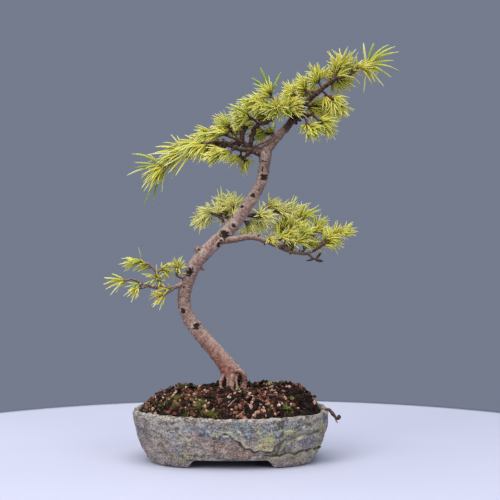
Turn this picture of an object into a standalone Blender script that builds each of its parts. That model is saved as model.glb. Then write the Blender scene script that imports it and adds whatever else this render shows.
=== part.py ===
"""A young conifer trained as a bonsai, planted in a handmade oval stoneware pot.

Run it with: blender --background --python part.py
Metres, +Z up. The origin is on the table, under the middle of the whole plant. The pot stands
a little to the left of it, because the crown reaches further to the right.

The wood is one grown piece: root crown, trunk, limbs and the bare foot of every twig. Each leafy
twig is a spray: a slim core that carries short spurs, and on every spur a bud with its needles.
"""
import math
from collections import namedtuple

import bmesh
import bpy
import numpy as np
from mathutils import Matrix, Vector

MM = 0.001

# Gap that neighbouring solids keep, and the least gap between a needle and what it passes
FIT_GAP = 0.3
NEEDLE_GAP = 0.3

# Pot, in millimetres: an oval turned form with a foot ring that is cut into four feet
POT_CENTRE_X = -20.0
POT_DEPTH_RATIO = 0.76
POT_SQUARENESS = 2.45
POT_FOOT_SHIFT = 1.8
POT_UNEVENNESS = 0.006
RIM_WAVE = 0.9
RIM_RIPPLE = 0.6
POT_STEPS = 32
POT_HEIGHT = 50.0
POT_FLOOR = 14.0
POT_UNDERSIDE = 8.0
POT_OUTSIDE = [(96.6, 46), (96, 38), (94.3, 30), (92.3, 22), (89.5, 14), (86.5, 7), (83, 1.5), (79, 0)]
POT_FOOT_INSIDE = [(64, 0), (61, 4), (59, POT_UNDERSIDE)]
POT_INSIDE = [(70, POT_FLOOR), (80, 19), (86.5, 30), (89.6, 43)]
POT_LIP = [(90.4, 47.6), (92, 49.6), (94.8, 49.4)]
FRONT_ARCH_WIDTH = 76.0
SIDE_ARCH_WIDTH = 50.0
ARCH_HEIGHT = 7.5
ARCH_SQUARENESS = 0.5
ARCH_LENGTH = 300.0
ARCH_SIDES = 20
DRAIN_RADIUS = 6.0
DRAIN_OFFSET = 36.0
SCREEN_SIDE = 20.0
SCREEN_THICKNESS = 0.8
SCREEN_SLOTS = 3
SCREEN_SLOT_SHARE = 0.5
SCREEN_SLOT_DEPTH = 10.0

# Soil, in millimetres: fills the pot and rises as a mound to the foot of the trunk
SOIL_WALL_GAP = 0.5
SOIL_RADIUS = POT_INSIDE[-1][0] - SOIL_WALL_GAP
SOIL_TOP = 71.0
SOIL_EDGE = 47.5
SOIL_FULLNESS = 4.5
SOIL_RINGS = 7
SOIL_ROUGHNESS = 0.6
SOIL_SMOOTH_BAND = 3.0
SCREEN_RECESS_SHARE = 0.75
STONE_COUNT = 10
STONE_SIZES = (2.6, 4.2)
STONE_AREA = (0.08, 0.75)
STONE_WIDTHS = (0.7, 1.0)
STONE_HEIGHTS = (0.6, 0.85)
MOSS_CUSHIONS = [(-46, -26, 15), (-33, -40, 11), (-66, 4, 12), (8, 24, 13)]
MOSS_DEPTH = 0.8
MOSS_HEIGHT = 0.3

# Root crown, in millimetres: the round root mass that stands in the hole in the soil
CROWN_X = -18.5
CROWN_RADIUS = 14.6
CROWN_SIDES = 20
CROWN_BOTTOM = 36.0
CROWN_SHOULDER = 67.0
CROWN_TOP = 71.8
CROWN_TOP_SHARE = 0.62

# Trunk and limbs, in millimetres: x, y, z and radius of each point that the wood grows through
TRUNK = [
    (-18.5, 0, 50, 9.8), (-18.5, 0, 64, 10.8), (-19, 0, 78, 10.0), (-21.5, 0, 90, 8.9),
    (-32, 1, 104, 7.9), (-47.2, 2, 121, 7.1), (-60.3, 3, 138, 6.6), (-66.2, 4, 156, 6.4),
    (-63, 3, 176, 6.7), (-52.4, 0, 196.5, 6.7), (-35.4, -3, 214.5, 6.6), (-17.5, -5, 231.5, 6.1),
    (-1.5, -5, 253.6, 5.6), (10.6, -3, 274.7, 5.4), (14.6, -1, 294, 5.5), (16.5, -1, 308, 5.9),
    (26.3, -3, 319.7, 4.6), (38, -6, 331.7, 3.5), (47, -9, 344.8, 3.0), (62, -12, 360, 2.5),
    (72, -13, 368, 2.2), (86, -13, 378, 1.7),
]
LIMBS = {
    "low_left": [(-64, 3, 176, 2.6), (-72, -2, 172, 2.0), (-80, -5, 170, 1.9), (-93, -8, 171, 1.7),
                 (-101, -9, 173, 1.5), (-108, -10, 175, 1.4), (-113, -10, 178, 1.3)],
    "low_left_rise": [(-87, -7, 170.5, 1.5), (-90, -4, 178, 1.4), (-93, -2, 185, 1.3)],
    "back_left": [(-22, -4, 230, 2.6), (-23, 6, 235, 2.2), (-27, 16, 240, 1.8), (-33, 22, 243, 1.4)],
    "back_right": [(-12, -5, 240, 2.6), (-6, 5, 242, 2.1), (2, 13, 244, 1.7), (12, 18, 246, 1.4)],
    "mid_right": [(-34, -3, 218, 3.9), (-20, -8, 218, 3.4), (-10, -11, 219.5, 3.1),
                   (0, -13, 221, 2.9), (8, -14, 219.5, 2.7), (16, -15, 216.5, 2.4),
                   (25, -15, 213, 2.1), (32, -15, 209.5, 1.9), (40, -15, 206.5, 1.7),
                   (50, -14, 204.5, 1.6), (58, -13, 205, 1.4), (68, -13, 210, 1.3)],
    "mid_right_back": [(30, -15, 211, 1.5), (34, -5, 216, 1.3), (36, 3, 222, 1.2)],
    "dry_end": [(57, -13, 205, 1.1), (62, -15, 200, 1.0), (65, -16, 199, 1.0)],
    "apex_left": [(15, -1, 304, 3.9), (6, -4, 306, 3.3), (0, -6, 310, 2.9), (-8, -8, 315, 2.4),
                   (-14, -9, 318, 1.8)],
    "apex_left_low": [(4, -4, 307, 2.4), (-5, -11, 307, 2.2), (-12, -14, 308, 2.0),
                       (-19, -16, 311, 1.9), (-24, -17, 314, 1.7), (-33, -18, 315, 1.4)],
    "apex_left_long": [(-8, -8, 315, 2.2), (-18, -3, 314, 2.1), (-30, 1, 312, 1.9),
                        (-45, 4, 310, 1.6), (-60, 4, 306, 1.3)],
    "apex_up": [(0, -6, 310, 2.1), (2, -8, 320, 2.0), (5, -10, 329, 1.9), (10, -11, 333, 1.8),
                 (18, -11, 335, 1.7), (23, -11, 341, 1.6), (21, -10, 348, 1.5), (25, -9, 355, 1.3)],
    "red_shoot": [(14, -3, 309, 1.3), (5, -7, 311, 1.2), (12, -9, 314, 1.1), (20, -10, 318, 1.0),
                   (25, -11, 323, 0.9)],
    "apex_low_right": [(36, -6, 330, 2.5), (45, -12, 336, 2.0), (55, -16, 341, 1.6),
                        (62, -18, 341, 1.3)],
}

# Roots that swell the foot of the trunk, and the knots and stubs of branches that were cut off.
# A knot has its place and its radius.
ROOTS = [
    [(-19, -2, 92, 4.8), (-11, -4, 86, 4.5), (-8, -5, 78, 4.1), (-9.3, -5.3, 70, 3.5),
     (-9.5, -5.5, 62, 3.2)],
    [(-22, -2, 88, 4.2), (-27, -5, 78, 3.7), (-28, -6, 62, 3.2)],
    [(-19, -3, 84, 4.2), (-20, -9, 76, 4.2), (-20, -10, 62, 3.8)],
    [(-18, 3, 86, 4.2), (-15, 8, 77, 4.0), (-14, 9, 62, 3.6)],
]
KNOTS = [
    (-53, -5.5, 132, 3.7), (-61.5, -0.5, 185, 3.9), (-28.5, -8.5, 223.5, 4.3), (-11.5, -9.5, 237.5, 2.7),
    (-6.5, -9.5, 250.5, 2.7), (3.5, -8.5, 261.5, 2.7), (13.5, -6.5, 280, 3.9), (16.5, -6, 305, 3.3),
]
FINE_KNOT_RADIUS = 3.5
STUBS = [
    [(-48, -1, 203, 2.8), (-54, -3, 210, 2.8)],
    [(-54, 0, 191, 1.6), (-46, 0, 188.5, 1.3)],
    [(3, -5, 308, 1.8), (-3, -8, 302, 1.7), (-6, -9, 299.5, 1.5)],
    [(-9, -8.5, 316, 2.2), (-7, -10, 324, 2.1), (-3, -11, 330, 1.8)],
]

# Leafy twigs, in millimetres: where each leaves its limb and runs to, how much of it is bare wood,
# how long its needles are, how long those of its last bud are, how far these bend down, and how
# closely they follow the twig
Twig = namedtuple("Twig", "name points bare reach tip_reach droop fan", defaults=(0.08, 0.55))
TWIGS = [
    Twig("low_left_tip", [(-112, -10, 177.5), (-118, -10, 179), (-124, -10, 177.5)], 5, 12, 22, 0.2, 1.1),
    Twig("low_left_under", [(-101, -9, 173), (-105, -14, 171), (-109, -18, 170)], 4, 11, 14, 0.2, 0.9),
    Twig("low_left_over", [(-93, -2, 185), (-98, 0, 191), (-103, 1, 194.5), (-110, 2, 195.5)],
         5, 11, 19, 0.2, 1.1),
    Twig("low_left_star", [(-89, -5, 175), (-91, -11, 178), (-92, -15, 180)], 4, 12, 14),
    Twig("low_left_rear", [(-93, -2, 185), (-90, 4, 188), (-87, 10, 189)], 4, 11, 14),
    Twig("low_left_drop", [(-75, -3, 171), (-79, -9, 167), (-84, -13, 164)], 5, 12, 16),
    Twig("low_left_collar", [(-66, 0, 179), (-73, -9, 183), (-71, -14, 190)], 9, 11, 12),

    Twig("back_left_far", [(-33, 22, 243), (-41, 25, 243), (-47, 26, 240)], 5, 13, 15, 0.2, 0.8),
    Twig("back_left_high", [(-28, 17, 240.5), (-31, 21, 248), (-29, 24, 254)], 5, 13, 17),
    Twig("back_left_near", [(-25, 11, 237.5), (-33, 10, 242), (-39, 9, 246)], 5, 13, 15),
    Twig("back_left_rear", [(-27, 16, 240), (-22, 25, 243), (-22, 33, 246)], 5, 13, 17),
    Twig("back_left_crest", [(-23, 7, 235.5), (-17, 14, 244), (-15, 18, 253)], 5, 12, 15),
    Twig("back_right_high", [(9, 17, 245.5), (14, 17, 249), (18, 16, 252)], 4, 13, 14),
    Twig("back_right_first", [(-8, 2.5, 241.5), (-5, 9, 236), (-2, 15, 231)], 5, 11, 12),
    Twig("back_right_low", [(2, 13, 244), (5, 20, 240), (8, 26, 236)], 5, 12, 15),
    Twig("back_right_near", [(-4, 8, 242.5), (5, 4, 241), (12, 2, 241)], 5, 12, 14),
    Twig("back_right_far", [(12, 18, 246), (23, 21, 246), (33, 22, 246), (42, 22, 245)], 9, 13, 17),

    Twig("mid_right_first", [(16, -15, 217), (17, -21, 217), (19, -26, 218)], 5, 9, 11),
    Twig("mid_right_front", [(25, -15, 213.5), (31, -19, 219), (37, -20, 223)], 5, 11, 13),
    Twig("mid_right_inner", [(29, -15, 211.5), (40, -8, 214), (49, -5, 217)], 5, 11, 12),
    Twig("mid_right_rear", [(36, 3, 222), (35, 11, 226), (32, 18, 230)], 4, 13, 15),
    Twig("mid_right_crest", [(36, 3, 222), (44, 5, 232), (53, 6, 240)], 4, 13, 17),
    Twig("mid_right_centre", [(40, -15, 206.5), (45, -17, 215), (51, -19, 223)], 5, 12, 13),
    Twig("mid_right_back", [(50, -14, 204.5), (57, -6, 212), (63, 1, 222), (67, 5, 231)], 5, 12, 14),
    Twig("mid_right_tip", [(67, -13, 209.5), (75, -12, 215), (83, -12, 220), (91, -12, 225)],
         5, 11, 16, 0.1, 1.0),
    Twig("mid_right_low", [(63, -13, 207), (70, -17, 213), (77, -20, 218)], 5, 10, 12),
    Twig("mid_right_far", [(66, -13, 209), (73, -4, 216), (80, 4, 222)], 5, 12, 14),

    Twig("left_far", [(-60, 4, 306), (-72, 3, 301), (-81, 2, 296), (-88, 1, 291)], 4, 18, 42, 0.28),
    Twig("left_ridge", [(-45, 4, 310), (-53, 8, 313), (-60, 9, 312), (-67, 10, 309)], 5, 16, 28, 0.2, 0.9),
    Twig("left_front", [(-33, -18, 315), (-43, -18, 313), (-53, -18, 309)], 5, 16, 22, 0.15),
    Twig("left_top", [(-14, -9, 318), (-24, -6, 322), (-32, -4, 324), (-40, -3, 322)], 6, 14, 18, 0.15),
    Twig("left_crest", [(-12, -8.5, 317.5), (-16, -3, 325), (-21, 0, 332)], 6, 14, 17),
    Twig("left_rear", [(-26, 0, 312.5), (-33, 9, 316), (-40, 17, 318), (-48, 21, 317)], 6, 15, 20),
    Twig("left_low", [(-14, -14, 308.5), (-22, -21, 304), (-31, -25, 301)], 5, 13, 15, 0.15),
    Twig("left_under", [(-8, -12.5, 307.5), (-9, -4, 302), (-5, 2, 296)], 5, 11, 13),
    Twig("left_inner", [(-8, -8, 315), (-8, -1, 323), (-6, 6, 330)], 6, 13, 15),

    Twig("up_left", [(9, -11, 332.5), (2, -15, 338), (-5, -18, 341)], 5, 14, 17, 0.1),
    Twig("up_front", [(23, -11, 341), (25, -19, 344), (26, -26, 346)], 4, 12, 14),
    Twig("up_crest", [(21, -10, 348), (12, -12, 352), (4, -13, 353)], 4, 13, 16),
    Twig("up_rear", [(18, -11, 335), (18, -2, 343), (15, 7, 350), (11, 14, 353)], 5, 13, 16),
    Twig("up_tip", [(24.5, -9, 354), (22, -6, 359), (20, -3, 364)], 4, 13, 28, 0.08, 0.9),
    Twig("up_inner", [(24, -2, 318), (21, 6, 325), (13, 10, 328)], 8, 12, 14),

    Twig("right_tip", [(84, -13, 376.5), (97, -10, 381), (107, -8, 387), (116, -6, 391)],
         9.5, 15, 32, 0.1, 0.25),
    Twig("right_over", [(80, -13, 374), (86, -8, 384), (91, -5, 392)], 5, 14, 17),
    Twig("right_top", [(72, -13, 368), (69, -8, 374), (68, -5, 380)], 5, 13, 15),
    Twig("right_shoulder", [(62, -12, 360), (58, -3, 366), (55, 4, 371)], 5, 13, 15),
    Twig("right_rear", [(78, -13, 372.5), (84, -4, 377), (91, 5, 382)], 5, 14, 18),
    Twig("right_under", [(70, -12.5, 366.5), (79, -12, 359), (86, -12, 352)], 5, 12, 16),
    Twig("right_back_low", [(53, -10, 351), (60, 0, 352), (69, 8, 352), (80, 11, 350)], 6, 13, 17),
    Twig("right_low", [(62, -18, 341), (67, -19, 336), (71, -19, 331)], 4, 12, 15),
    Twig("right_low_front", [(54, -15.6, 340.6), (56, -20, 333), (58, -22, 326)], 5, 12, 13),
    Twig("right_mid_front", [(55, -10.5, 353), (48, -8, 360), (43, -7, 364)], 5, 12, 14),
    Twig("right_near", [(42, -7, 338), (36, -13, 345), (39, -17, 350)], 6, 12, 13),
    Twig("right_mid_rear", [(47, -9, 345), (42, 1, 350), (36, 9, 354)], 6, 12, 14),
]
TWIG_RADIUS = 1.15
TWIG_TIP_RADIUS = 0.9
PATH_SPACING = 11.0
TRUNK_SPACING = 12.0
CORE_SIDES = 4
LIMB_SIDES = 6
TRUNK_SIDES = 10

# Spurs, buds and needles, in millimetres
BUD_SPACING = 8.0
FIRST_BUD_BACK = 6.4
LAST_BUD_MARGIN = 2.0
BUD_LEAN = 0.8
BUD_RADIUS = 1.3
SPUR_LENGTH = 3.4
SPUR_RADIUS = 0.8
NEEDLE_TIP_RADIUS = 0.08
NEEDLE_BASE_RADIUS = 0.75
LENGTH_VARIATION = 0.14
TIP_LENGTH_SHARE = 0.75
SIDE_FAN = 0.35
REARMOST_FACING = -0.15
NEEDLE_SPREAD = 0.10
SPREAD_GROWTH = 0.5
SHORTENINGS = (1, 1, 0.95, 0.85, 0.7, 0.5)
LEAST_UPRIGHTNESS = 0.6
BENT_FROM_LENGTH = 19.0
BENT_MIDDLE_RADIUS = 0.62
GOLDEN_ANGLE = math.radians(137.5)
TURN_STEP = 1.3
PATH_END_MARGIN = 1.0
SEED = 11

COLOURS = {
    "clay": ((0.33, 0.31, 0.25), 0.62),
    "soil": ((0.075, 0.05, 0.038), 0.95),
    "bark": ((0.36, 0.25, 0.21), 0.8),
    "needles": ((0.47, 0.52, 0.08), 0.5),
    "screen": ((0.04, 0.04, 0.04), 0.5),
}


def clear_scene():
    """Removes whatever the opened file holds."""
    for item in list(bpy.data.objects):
        bpy.data.objects.remove(item, do_unlink=True)


def new_collection(name):
    group = bpy.data.collections.new(name)
    bpy.context.scene.collection.children.link(group)
    return group


def material(name):
    """A Principled BSDF in the named colour and roughness."""
    made = bpy.data.materials.new(name)
    made.use_nodes = True
    colour, roughness = COLOURS[name]
    shader = made.node_tree.nodes["Principled BSDF"]
    shader.inputs["Base Color"].default_value = (*colour, 1.0)
    shader.inputs["Roughness"].default_value = roughness
    made.diffuse_color = (*colour, 1.0)
    return made


def object_from_bmesh(shape, name, group):
    mesh = bpy.data.meshes.new(name)
    shape.to_mesh(mesh)
    shape.free()
    made = bpy.data.objects.new(name, mesh)
    group.objects.link(made)
    return made


def object_from_evaluated(source, name, group):
    """A mesh object with the shape that the source has after its modifiers or its bevel."""
    bpy.context.view_layer.update()
    evaluated = source.evaluated_get(bpy.context.evaluated_depsgraph_get())
    mesh = bpy.data.meshes.new_from_object(evaluated)
    shape = bmesh.new()
    shape.from_mesh(mesh)
    shape.transform(source.matrix_world)
    bmesh.ops.remove_doubles(shape, verts=shape.verts, dist=1e-6)
    bmesh.ops.recalc_face_normals(shape, faces=shape.faces)
    bpy.data.objects.remove(source, do_unlink=True)
    bpy.data.meshes.remove(mesh)
    return object_from_bmesh(shape, name, group)


def set_boolean(target, operation, other, solver="EXACT"):
    """Adds a Boolean modifier that works with one object or with a whole collection."""
    cut = target.modifiers.new(operation.lower(), "BOOLEAN")
    cut.operation = operation
    cut.solver = solver
    if isinstance(other, bpy.types.Collection):
        cut.operand_type = "COLLECTION"
        cut.collection = other
    else:
        cut.object = other


def joined(target, pieces, name, group):
    """One solid of the target and all the pieces of a collection, which is then removed."""
    set_boolean(target, "UNION", pieces)
    whole = object_from_evaluated(target, name, group)
    for piece in list(pieces.objects):
        bpy.data.objects.remove(piece, do_unlink=True)
    bpy.data.collections.remove(pieces)
    return whole


def cutter(shape, name, group):
    made = object_from_bmesh(shape, name, group)
    made.hide_render = True
    made.display_type = "WIRE"
    return made


def cylinder(radius, bottom, top, x=0.0, y=0.0, segments=24):
    """A round post, as a bmesh, in millimetres."""
    shape = bmesh.new()
    bmesh.ops.create_cone(shape, cap_ends=True, segments=segments, radius1=radius * MM,
                          radius2=radius * MM, depth=(top - bottom) * MM)
    bmesh.ops.translate(shape, verts=shape.verts, vec=Vector((x, y, (bottom + top) / 2)) * MM)
    return shape


def smooth_path(points, spacing=PATH_SPACING):
    """Points a spacing apart on a Catmull-Rom curve through the given ones, the radius included."""
    points = np.array(points, dtype=float)
    before = 2 * points[0] - points[1]
    after = 2 * points[-1] - points[-2]
    guide = np.vstack([before, points, after])
    result = []
    for first, start, end, last in zip(guide, guide[1:], guide[2:], guide[3:]):
        pieces = max(1, round(float(np.linalg.norm(end[:3] - start[:3])) / spacing))
        for t in np.arange(pieces) / pieces:
            result.append(0.5 * (2 * start + (end - first) * t
                                 + (2 * first - 5 * start + 4 * end - last) * t ** 2
                                 + (3 * start - first - 3 * end + last) * t ** 3))
    result.append(points[-1])
    return np.array(result)


def tube(path, sides, name, group):
    """A round tube through the points of a path, with each point's own radius and filled caps."""
    curve = bpy.data.curves.new(name, "CURVE")
    curve.dimensions = "3D"
    curve.bevel_depth = MM
    curve.bevel_resolution = (sides - 4) // 2
    curve.use_fill_caps = True
    spline = curve.splines.new("POLY")
    spline.points.add(len(path) - 1)
    for point, (x, y, z, radius) in zip(spline.points, path):
        point.co = (x * MM, y * MM, z * MM, 1.0)
        point.radius = radius
    drawn = bpy.data.objects.new(name + "_line", curve)
    group.objects.link(drawn)
    return object_from_evaluated(drawn, name, group)


def outward_swell(turn, height):
    """How far the handmade form swells past a round one, in one direction and at one height."""
    square = abs(math.cos(turn)) ** POT_SQUARENESS + abs(math.sin(turn)) ** POT_SQUARENESS
    unevenness = POT_UNEVENNESS * max(height, 0.0) / POT_HEIGHT * math.sin(3 * turn + 1.0)
    return square ** (-1 / POT_SQUARENESS) * (1 + unevenness)


def by_hand(x, y, z):
    """The pot's uneven, handmade form: a turned point is squared off, flattened, waved and leaned."""
    turn = math.atan2(y, x)
    swell = outward_swell(turn, z)
    rim_wave = RIM_WAVE * math.sin(2 * turn + 0.5) + RIM_RIPPLE * math.sin(5 * turn)
    lift = (max(z, 0.0) / POT_HEIGHT) ** 2 * rim_wave
    lean = POT_FOOT_SHIFT * (1 - z / POT_HEIGHT)
    return x * swell + lean, y * swell * POT_DEPTH_RATIO, z + lift


def turned(profile, name, group, shaping=by_hand):
    """A profile of radius and height, turned about the pot's middle and shaped by hand."""
    shape = bmesh.new()
    corners = [shape.verts.new((radius * MM, 0, height * MM)) for radius, height in profile]
    for start, end in zip(corners, corners[1:]):
        shape.edges.new((start, end))
    drawn = object_from_bmesh(shape, name + "_profile", group)
    screw = drawn.modifiers.new("turn", "SCREW")
    screw.steps = POT_STEPS
    screw.render_steps = POT_STEPS
    screw.use_merge_vertices = True
    screw.merge_threshold = 1e-5
    body = object_from_evaluated(drawn, name, group)
    for vertex in body.data.vertices:
        x, y, z = shaping(*(vertex.co / MM))
        vertex.co = Vector((x + POT_CENTRE_X, y, z)) * MM
    return body


def arch_cutter(width, along_x, name, group):
    """A low tunnel under the pot, across it or along it, with a flattened arch for a section."""
    shape = bmesh.new()
    bmesh.ops.create_cone(shape, cap_ends=True, segments=ARCH_SIDES, radius1=1, radius2=1,
                          depth=ARCH_LENGTH * MM)
    for vertex in shape.verts:
        across = math.copysign(abs(vertex.co.x) ** ARCH_SQUARENESS, vertex.co.x) * width / 2
        upward = math.copysign(abs(vertex.co.y) ** ARCH_SQUARENESS, vertex.co.y) * ARCH_HEIGHT
        vertex.co = Vector((across * MM, vertex.co.z, upward * MM))
    turn = Matrix.Rotation(math.pi / 2 if along_x else 0.0, 4, "Z")
    bmesh.ops.transform(shape, matrix=turn, verts=shape.verts)
    bmesh.ops.translate(shape, verts=shape.verts, vec=((POT_CENTRE_X + POT_FOOT_SHIFT) * MM, 0, 0))
    bmesh.ops.recalc_face_normals(shape, faces=shape.faces)
    return cutter(shape, name, group)


def drain_places():
    return [(POT_CENTRE_X - DRAIN_OFFSET, "left"), (POT_CENTRE_X + DRAIN_OFFSET, "right")]


def make_pot(parts, cutters):
    """The oval pot: wall, rolled lip, four feet between low arches, and two drain holes."""
    profile = ([(0, POT_FLOOR)] + POT_INSIDE + POT_LIP + POT_OUTSIDE + POT_FOOT_INSIDE
               + [(0, POT_UNDERSIDE)])
    pot = turned(profile, "pot", parts)
    set_boolean(pot, "DIFFERENCE", arch_cutter(FRONT_ARCH_WIDTH, False, "front_arch", cutters))
    set_boolean(pot, "DIFFERENCE", arch_cutter(SIDE_ARCH_WIDTH, True, "side_arch", cutters))
    for x, side in drain_places():
        hole = cylinder(DRAIN_RADIUS, 0, POT_FLOOR + DRAIN_RADIUS, x)
        set_boolean(pot, "DIFFERENCE", cutter(hole, "drain_" + side, cutters))
    pot.data.materials.append(material("clay"))
    return pot


def make_screens(parts, cutters):
    """A square plastic screen over each drain hole, which keeps the soil in."""
    black = material("screen")
    bottom = POT_FLOOR + FIT_GAP
    pitch = SCREEN_SIDE / (SCREEN_SLOTS + 1)
    for x, side in drain_places():
        shape = bmesh.new()
        bmesh.ops.create_cube(shape, size=MM)
        bmesh.ops.scale(shape, vec=(SCREEN_SIDE, SCREEN_SIDE, SCREEN_THICKNESS), verts=shape.verts)
        middle = Vector((x, 0, bottom + SCREEN_THICKNESS / 2)) * MM
        bmesh.ops.translate(shape, verts=shape.verts, vec=middle)
        screen = object_from_bmesh(shape, "drain_screen_" + side, parts)
        slots = new_collection("screen_slots_" + side)
        for row in range(SCREEN_SLOTS):
            y = (row - (SCREEN_SLOTS - 1) / 2) * pitch
            slot = bmesh.new()
            bmesh.ops.create_cube(slot, size=MM)
            size = (SCREEN_SIDE - pitch, pitch * SCREEN_SLOT_SHARE, SCREEN_SLOT_DEPTH)
            bmesh.ops.scale(slot, vec=size, verts=slot.verts)
            bmesh.ops.translate(slot, verts=slot.verts, vec=Vector((x, y, bottom)) * MM)
            cutter(slot, "slot_%s_%d" % (side, row), slots)
        set_boolean(screen, "DIFFERENCE", slots)
        cutters.children.link(slots)
        bpy.context.scene.collection.children.unlink(slots)
        screen.data.materials.append(black)


def mound_height(share):
    """Height of the soil at a share of the way from the middle to the wall."""
    return SOIL_EDGE + (SOIL_TOP - SOIL_EDGE) * (1 - share ** SOIL_FULLNESS)


def soil_surface(x, y):
    """Height of the soil's own mound at a place, before its grain."""
    turn = math.atan2(y / POT_DEPTH_RATIO, x - POT_CENTRE_X)
    swell = outward_swell(turn, SOIL_TOP)
    radius = math.hypot((x - POT_CENTRE_X), y / POT_DEPTH_RATIO) / swell
    height = mound_height(min(radius / SOIL_RADIUS, 1.0))
    return by_hand(radius * math.cos(turn), radius * math.sin(turn), height)[2]


def pebble(place, size, seed, name, group):
    """A clay granule: a small ball of twenty faces, squashed and turned."""
    random = np.random.default_rng(seed)
    shape = bmesh.new()
    bmesh.ops.create_icosphere(shape, subdivisions=1, radius=size / 2 * MM)
    squash = (1, random.uniform(*STONE_WIDTHS), random.uniform(*STONE_HEIGHTS))
    bmesh.ops.scale(shape, vec=squash, verts=shape.verts)
    spin = Matrix.Rotation(random.uniform(0, math.tau), 4, Vector(random.normal(size=3)).normalized())
    bmesh.ops.transform(shape, matrix=Matrix.Translation(Vector(place) * MM) @ spin, verts=shape.verts)
    return object_from_bmesh(shape, name, group)


def make_soil(parts, cutters):
    """The soil: it fills the pot, rises in a grainy mound, and carries granules and moss cushions."""
    wall = [(radius - SOIL_WALL_GAP, height) for radius, height in reversed(POT_INSIDE)]
    floor = POT_FLOOR + FIT_GAP
    shares = np.arange(SOIL_RINGS) / SOIL_RINGS
    top = [(share * SOIL_RADIUS, mound_height(share)) for share in shares]
    side = [(SOIL_RADIUS, SOIL_EDGE)] + wall[1:-1] + [(wall[-1][0], floor), (0, floor)]
    soil = turned(top + side, "soil", parts)
    random = np.random.default_rng(SEED)
    for vertex in soil.data.vertices:
        if vertex.co.z > (SOIL_EDGE + SOIL_SMOOTH_BAND) * MM:
            vertex.co.z += random.uniform(-SOIL_ROUGHNESS, SOIL_ROUGHNESS) * MM
    lumps = new_collection("soil_lumps")
    for index in range(STONE_COUNT):
        share = math.sqrt(random.uniform(*STONE_AREA))
        turn = index * GOLDEN_ANGLE
        x = POT_CENTRE_X + share * SOIL_RADIUS * math.cos(turn)
        y = share * SOIL_RADIUS * POT_DEPTH_RATIO * math.sin(turn)
        size = random.uniform(*STONE_SIZES)
        pebble((x, y, soil_surface(x, y)), size, index, "stone_%d" % index, lumps)
    for index, (x, y, width) in enumerate(MOSS_CUSHIONS):
        shape = bmesh.new()
        bmesh.ops.create_icosphere(shape, subdivisions=2, radius=width / 2 * MM)
        bmesh.ops.scale(shape, vec=(1, MOSS_DEPTH, MOSS_HEIGHT), verts=shape.verts)
        bmesh.ops.translate(shape, verts=shape.verts, vec=Vector((x, y, soil_surface(x, y))) * MM)
        object_from_bmesh(shape, "moss_%d" % index, lumps)
    soil = joined(soil, lumps, "soil", parts)
    above = SOIL_TOP + POT_HEIGHT
    hole = cylinder(CROWN_RADIUS + FIT_GAP, CROWN_BOTTOM - FIT_GAP, above, CROWN_X, segments=CROWN_SIDES)
    set_boolean(soil, "DIFFERENCE", cutter(hole, "root_hole", cutters))
    for x, side_name in drain_places():
        recess = cylinder(SCREEN_SIDE * SCREEN_RECESS_SHARE, 0, floor + SCREEN_THICKNESS + FIT_GAP, x)
        set_boolean(soil, "DIFFERENCE", cutter(recess, "screen_recess_" + side_name, cutters))
    soil.data.materials.append(material("soil"))
    return soil


def straight(start, end, radius, name, group, sides=4):
    """A short straight peg between two points, in millimetres."""
    start, end = Vector(start), Vector(end)
    shape = bmesh.new()
    bmesh.ops.create_cone(shape, cap_ends=True, segments=sides, radius1=radius * MM,
                          radius2=radius * MM, depth=(end - start).length * MM)
    turn = (end - start).to_track_quat("Z", "Y").to_matrix().to_4x4()
    place = Matrix.Translation((start + end) / 2 * MM)
    bmesh.ops.transform(shape, matrix=place @ turn, verts=shape.verts)
    return object_from_bmesh(shape, name, group)


def split_twig(twig):
    """The twig's smooth path in two: its bare foot, and its leafy part a fit gap further on."""
    count = len(twig.points)
    radii = np.linspace(TWIG_RADIUS, TWIG_TIP_RADIUS, count)
    path = smooth_path([(*point, radius) for point, radius in zip(twig.points, radii)])
    steps = np.linalg.norm(np.diff(path[:, :3], axis=0), axis=1)
    reached = np.concatenate([[0], np.cumsum(steps)])

    def at(length):
        return np.array([np.interp(length, reached, path[:, column]) for column in range(4)])

    foot_end = twig.bare - PATH_END_MARGIN
    leaf_start = twig.bare + FIT_GAP + PATH_END_MARGIN
    foot = [point for point, length in zip(path, reached) if length < foot_end]
    leafy = [point for point, length in zip(path, reached) if length > leaf_start]
    foot = np.array(foot + [at(twig.bare)])
    leafy = np.array([at(twig.bare + FIT_GAP)] + leafy)
    return foot, leafy


def bud_places(leafy, first_turn):
    """Centres and axes of the buds: one ends the twig, the rest sit on spurs turned round it."""
    steps = np.linalg.norm(np.diff(leafy[:, :3], axis=0), axis=1)
    reached = np.concatenate([[0], np.cumsum(steps)])
    tangent = leafy[-1, :3] - leafy[-2, :3]
    tangent /= np.linalg.norm(tangent)
    places = [(leafy[-1, :3], leafy[-1, :3], tangent)]
    back = FIRST_BUD_BACK
    turn = first_turn
    while back < reached[-1] - LAST_BUD_MARGIN:
        length = reached[-1] - back
        foot = np.array([np.interp(length, reached, leafy[:, column]) for column in range(3)])
        segment = min(np.searchsorted(reached, length) - 1, len(leafy) - 2)
        along = leafy[segment + 1, :3] - leafy[segment, :3]
        along /= np.linalg.norm(along)
        across = np.cross(along, (0.0, 0.0, 1.0))
        across /= np.linalg.norm(across)
        upward = np.cross(across, along)
        side = across * math.cos(turn) + upward * math.sin(turn)
        lean = side + BUD_LEAN * along
        lean /= np.linalg.norm(lean)
        places.append((foot, foot + lean * SPUR_LENGTH, lean))
        back += BUD_SPACING
        turn += GOLDEN_ANGLE
    return places


def ball_template():
    """The corners, faces and normals of the twenty-faced ball that a bud starts as."""
    shape = bmesh.new()
    bmesh.ops.create_icosphere(shape, subdivisions=1, radius=1.0)
    normals = np.array([face.normal[:] for face in shape.faces])
    centres = np.array([face.calc_center_median()[:] for face in shape.faces])
    shape.free()
    return normals, centres


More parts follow.
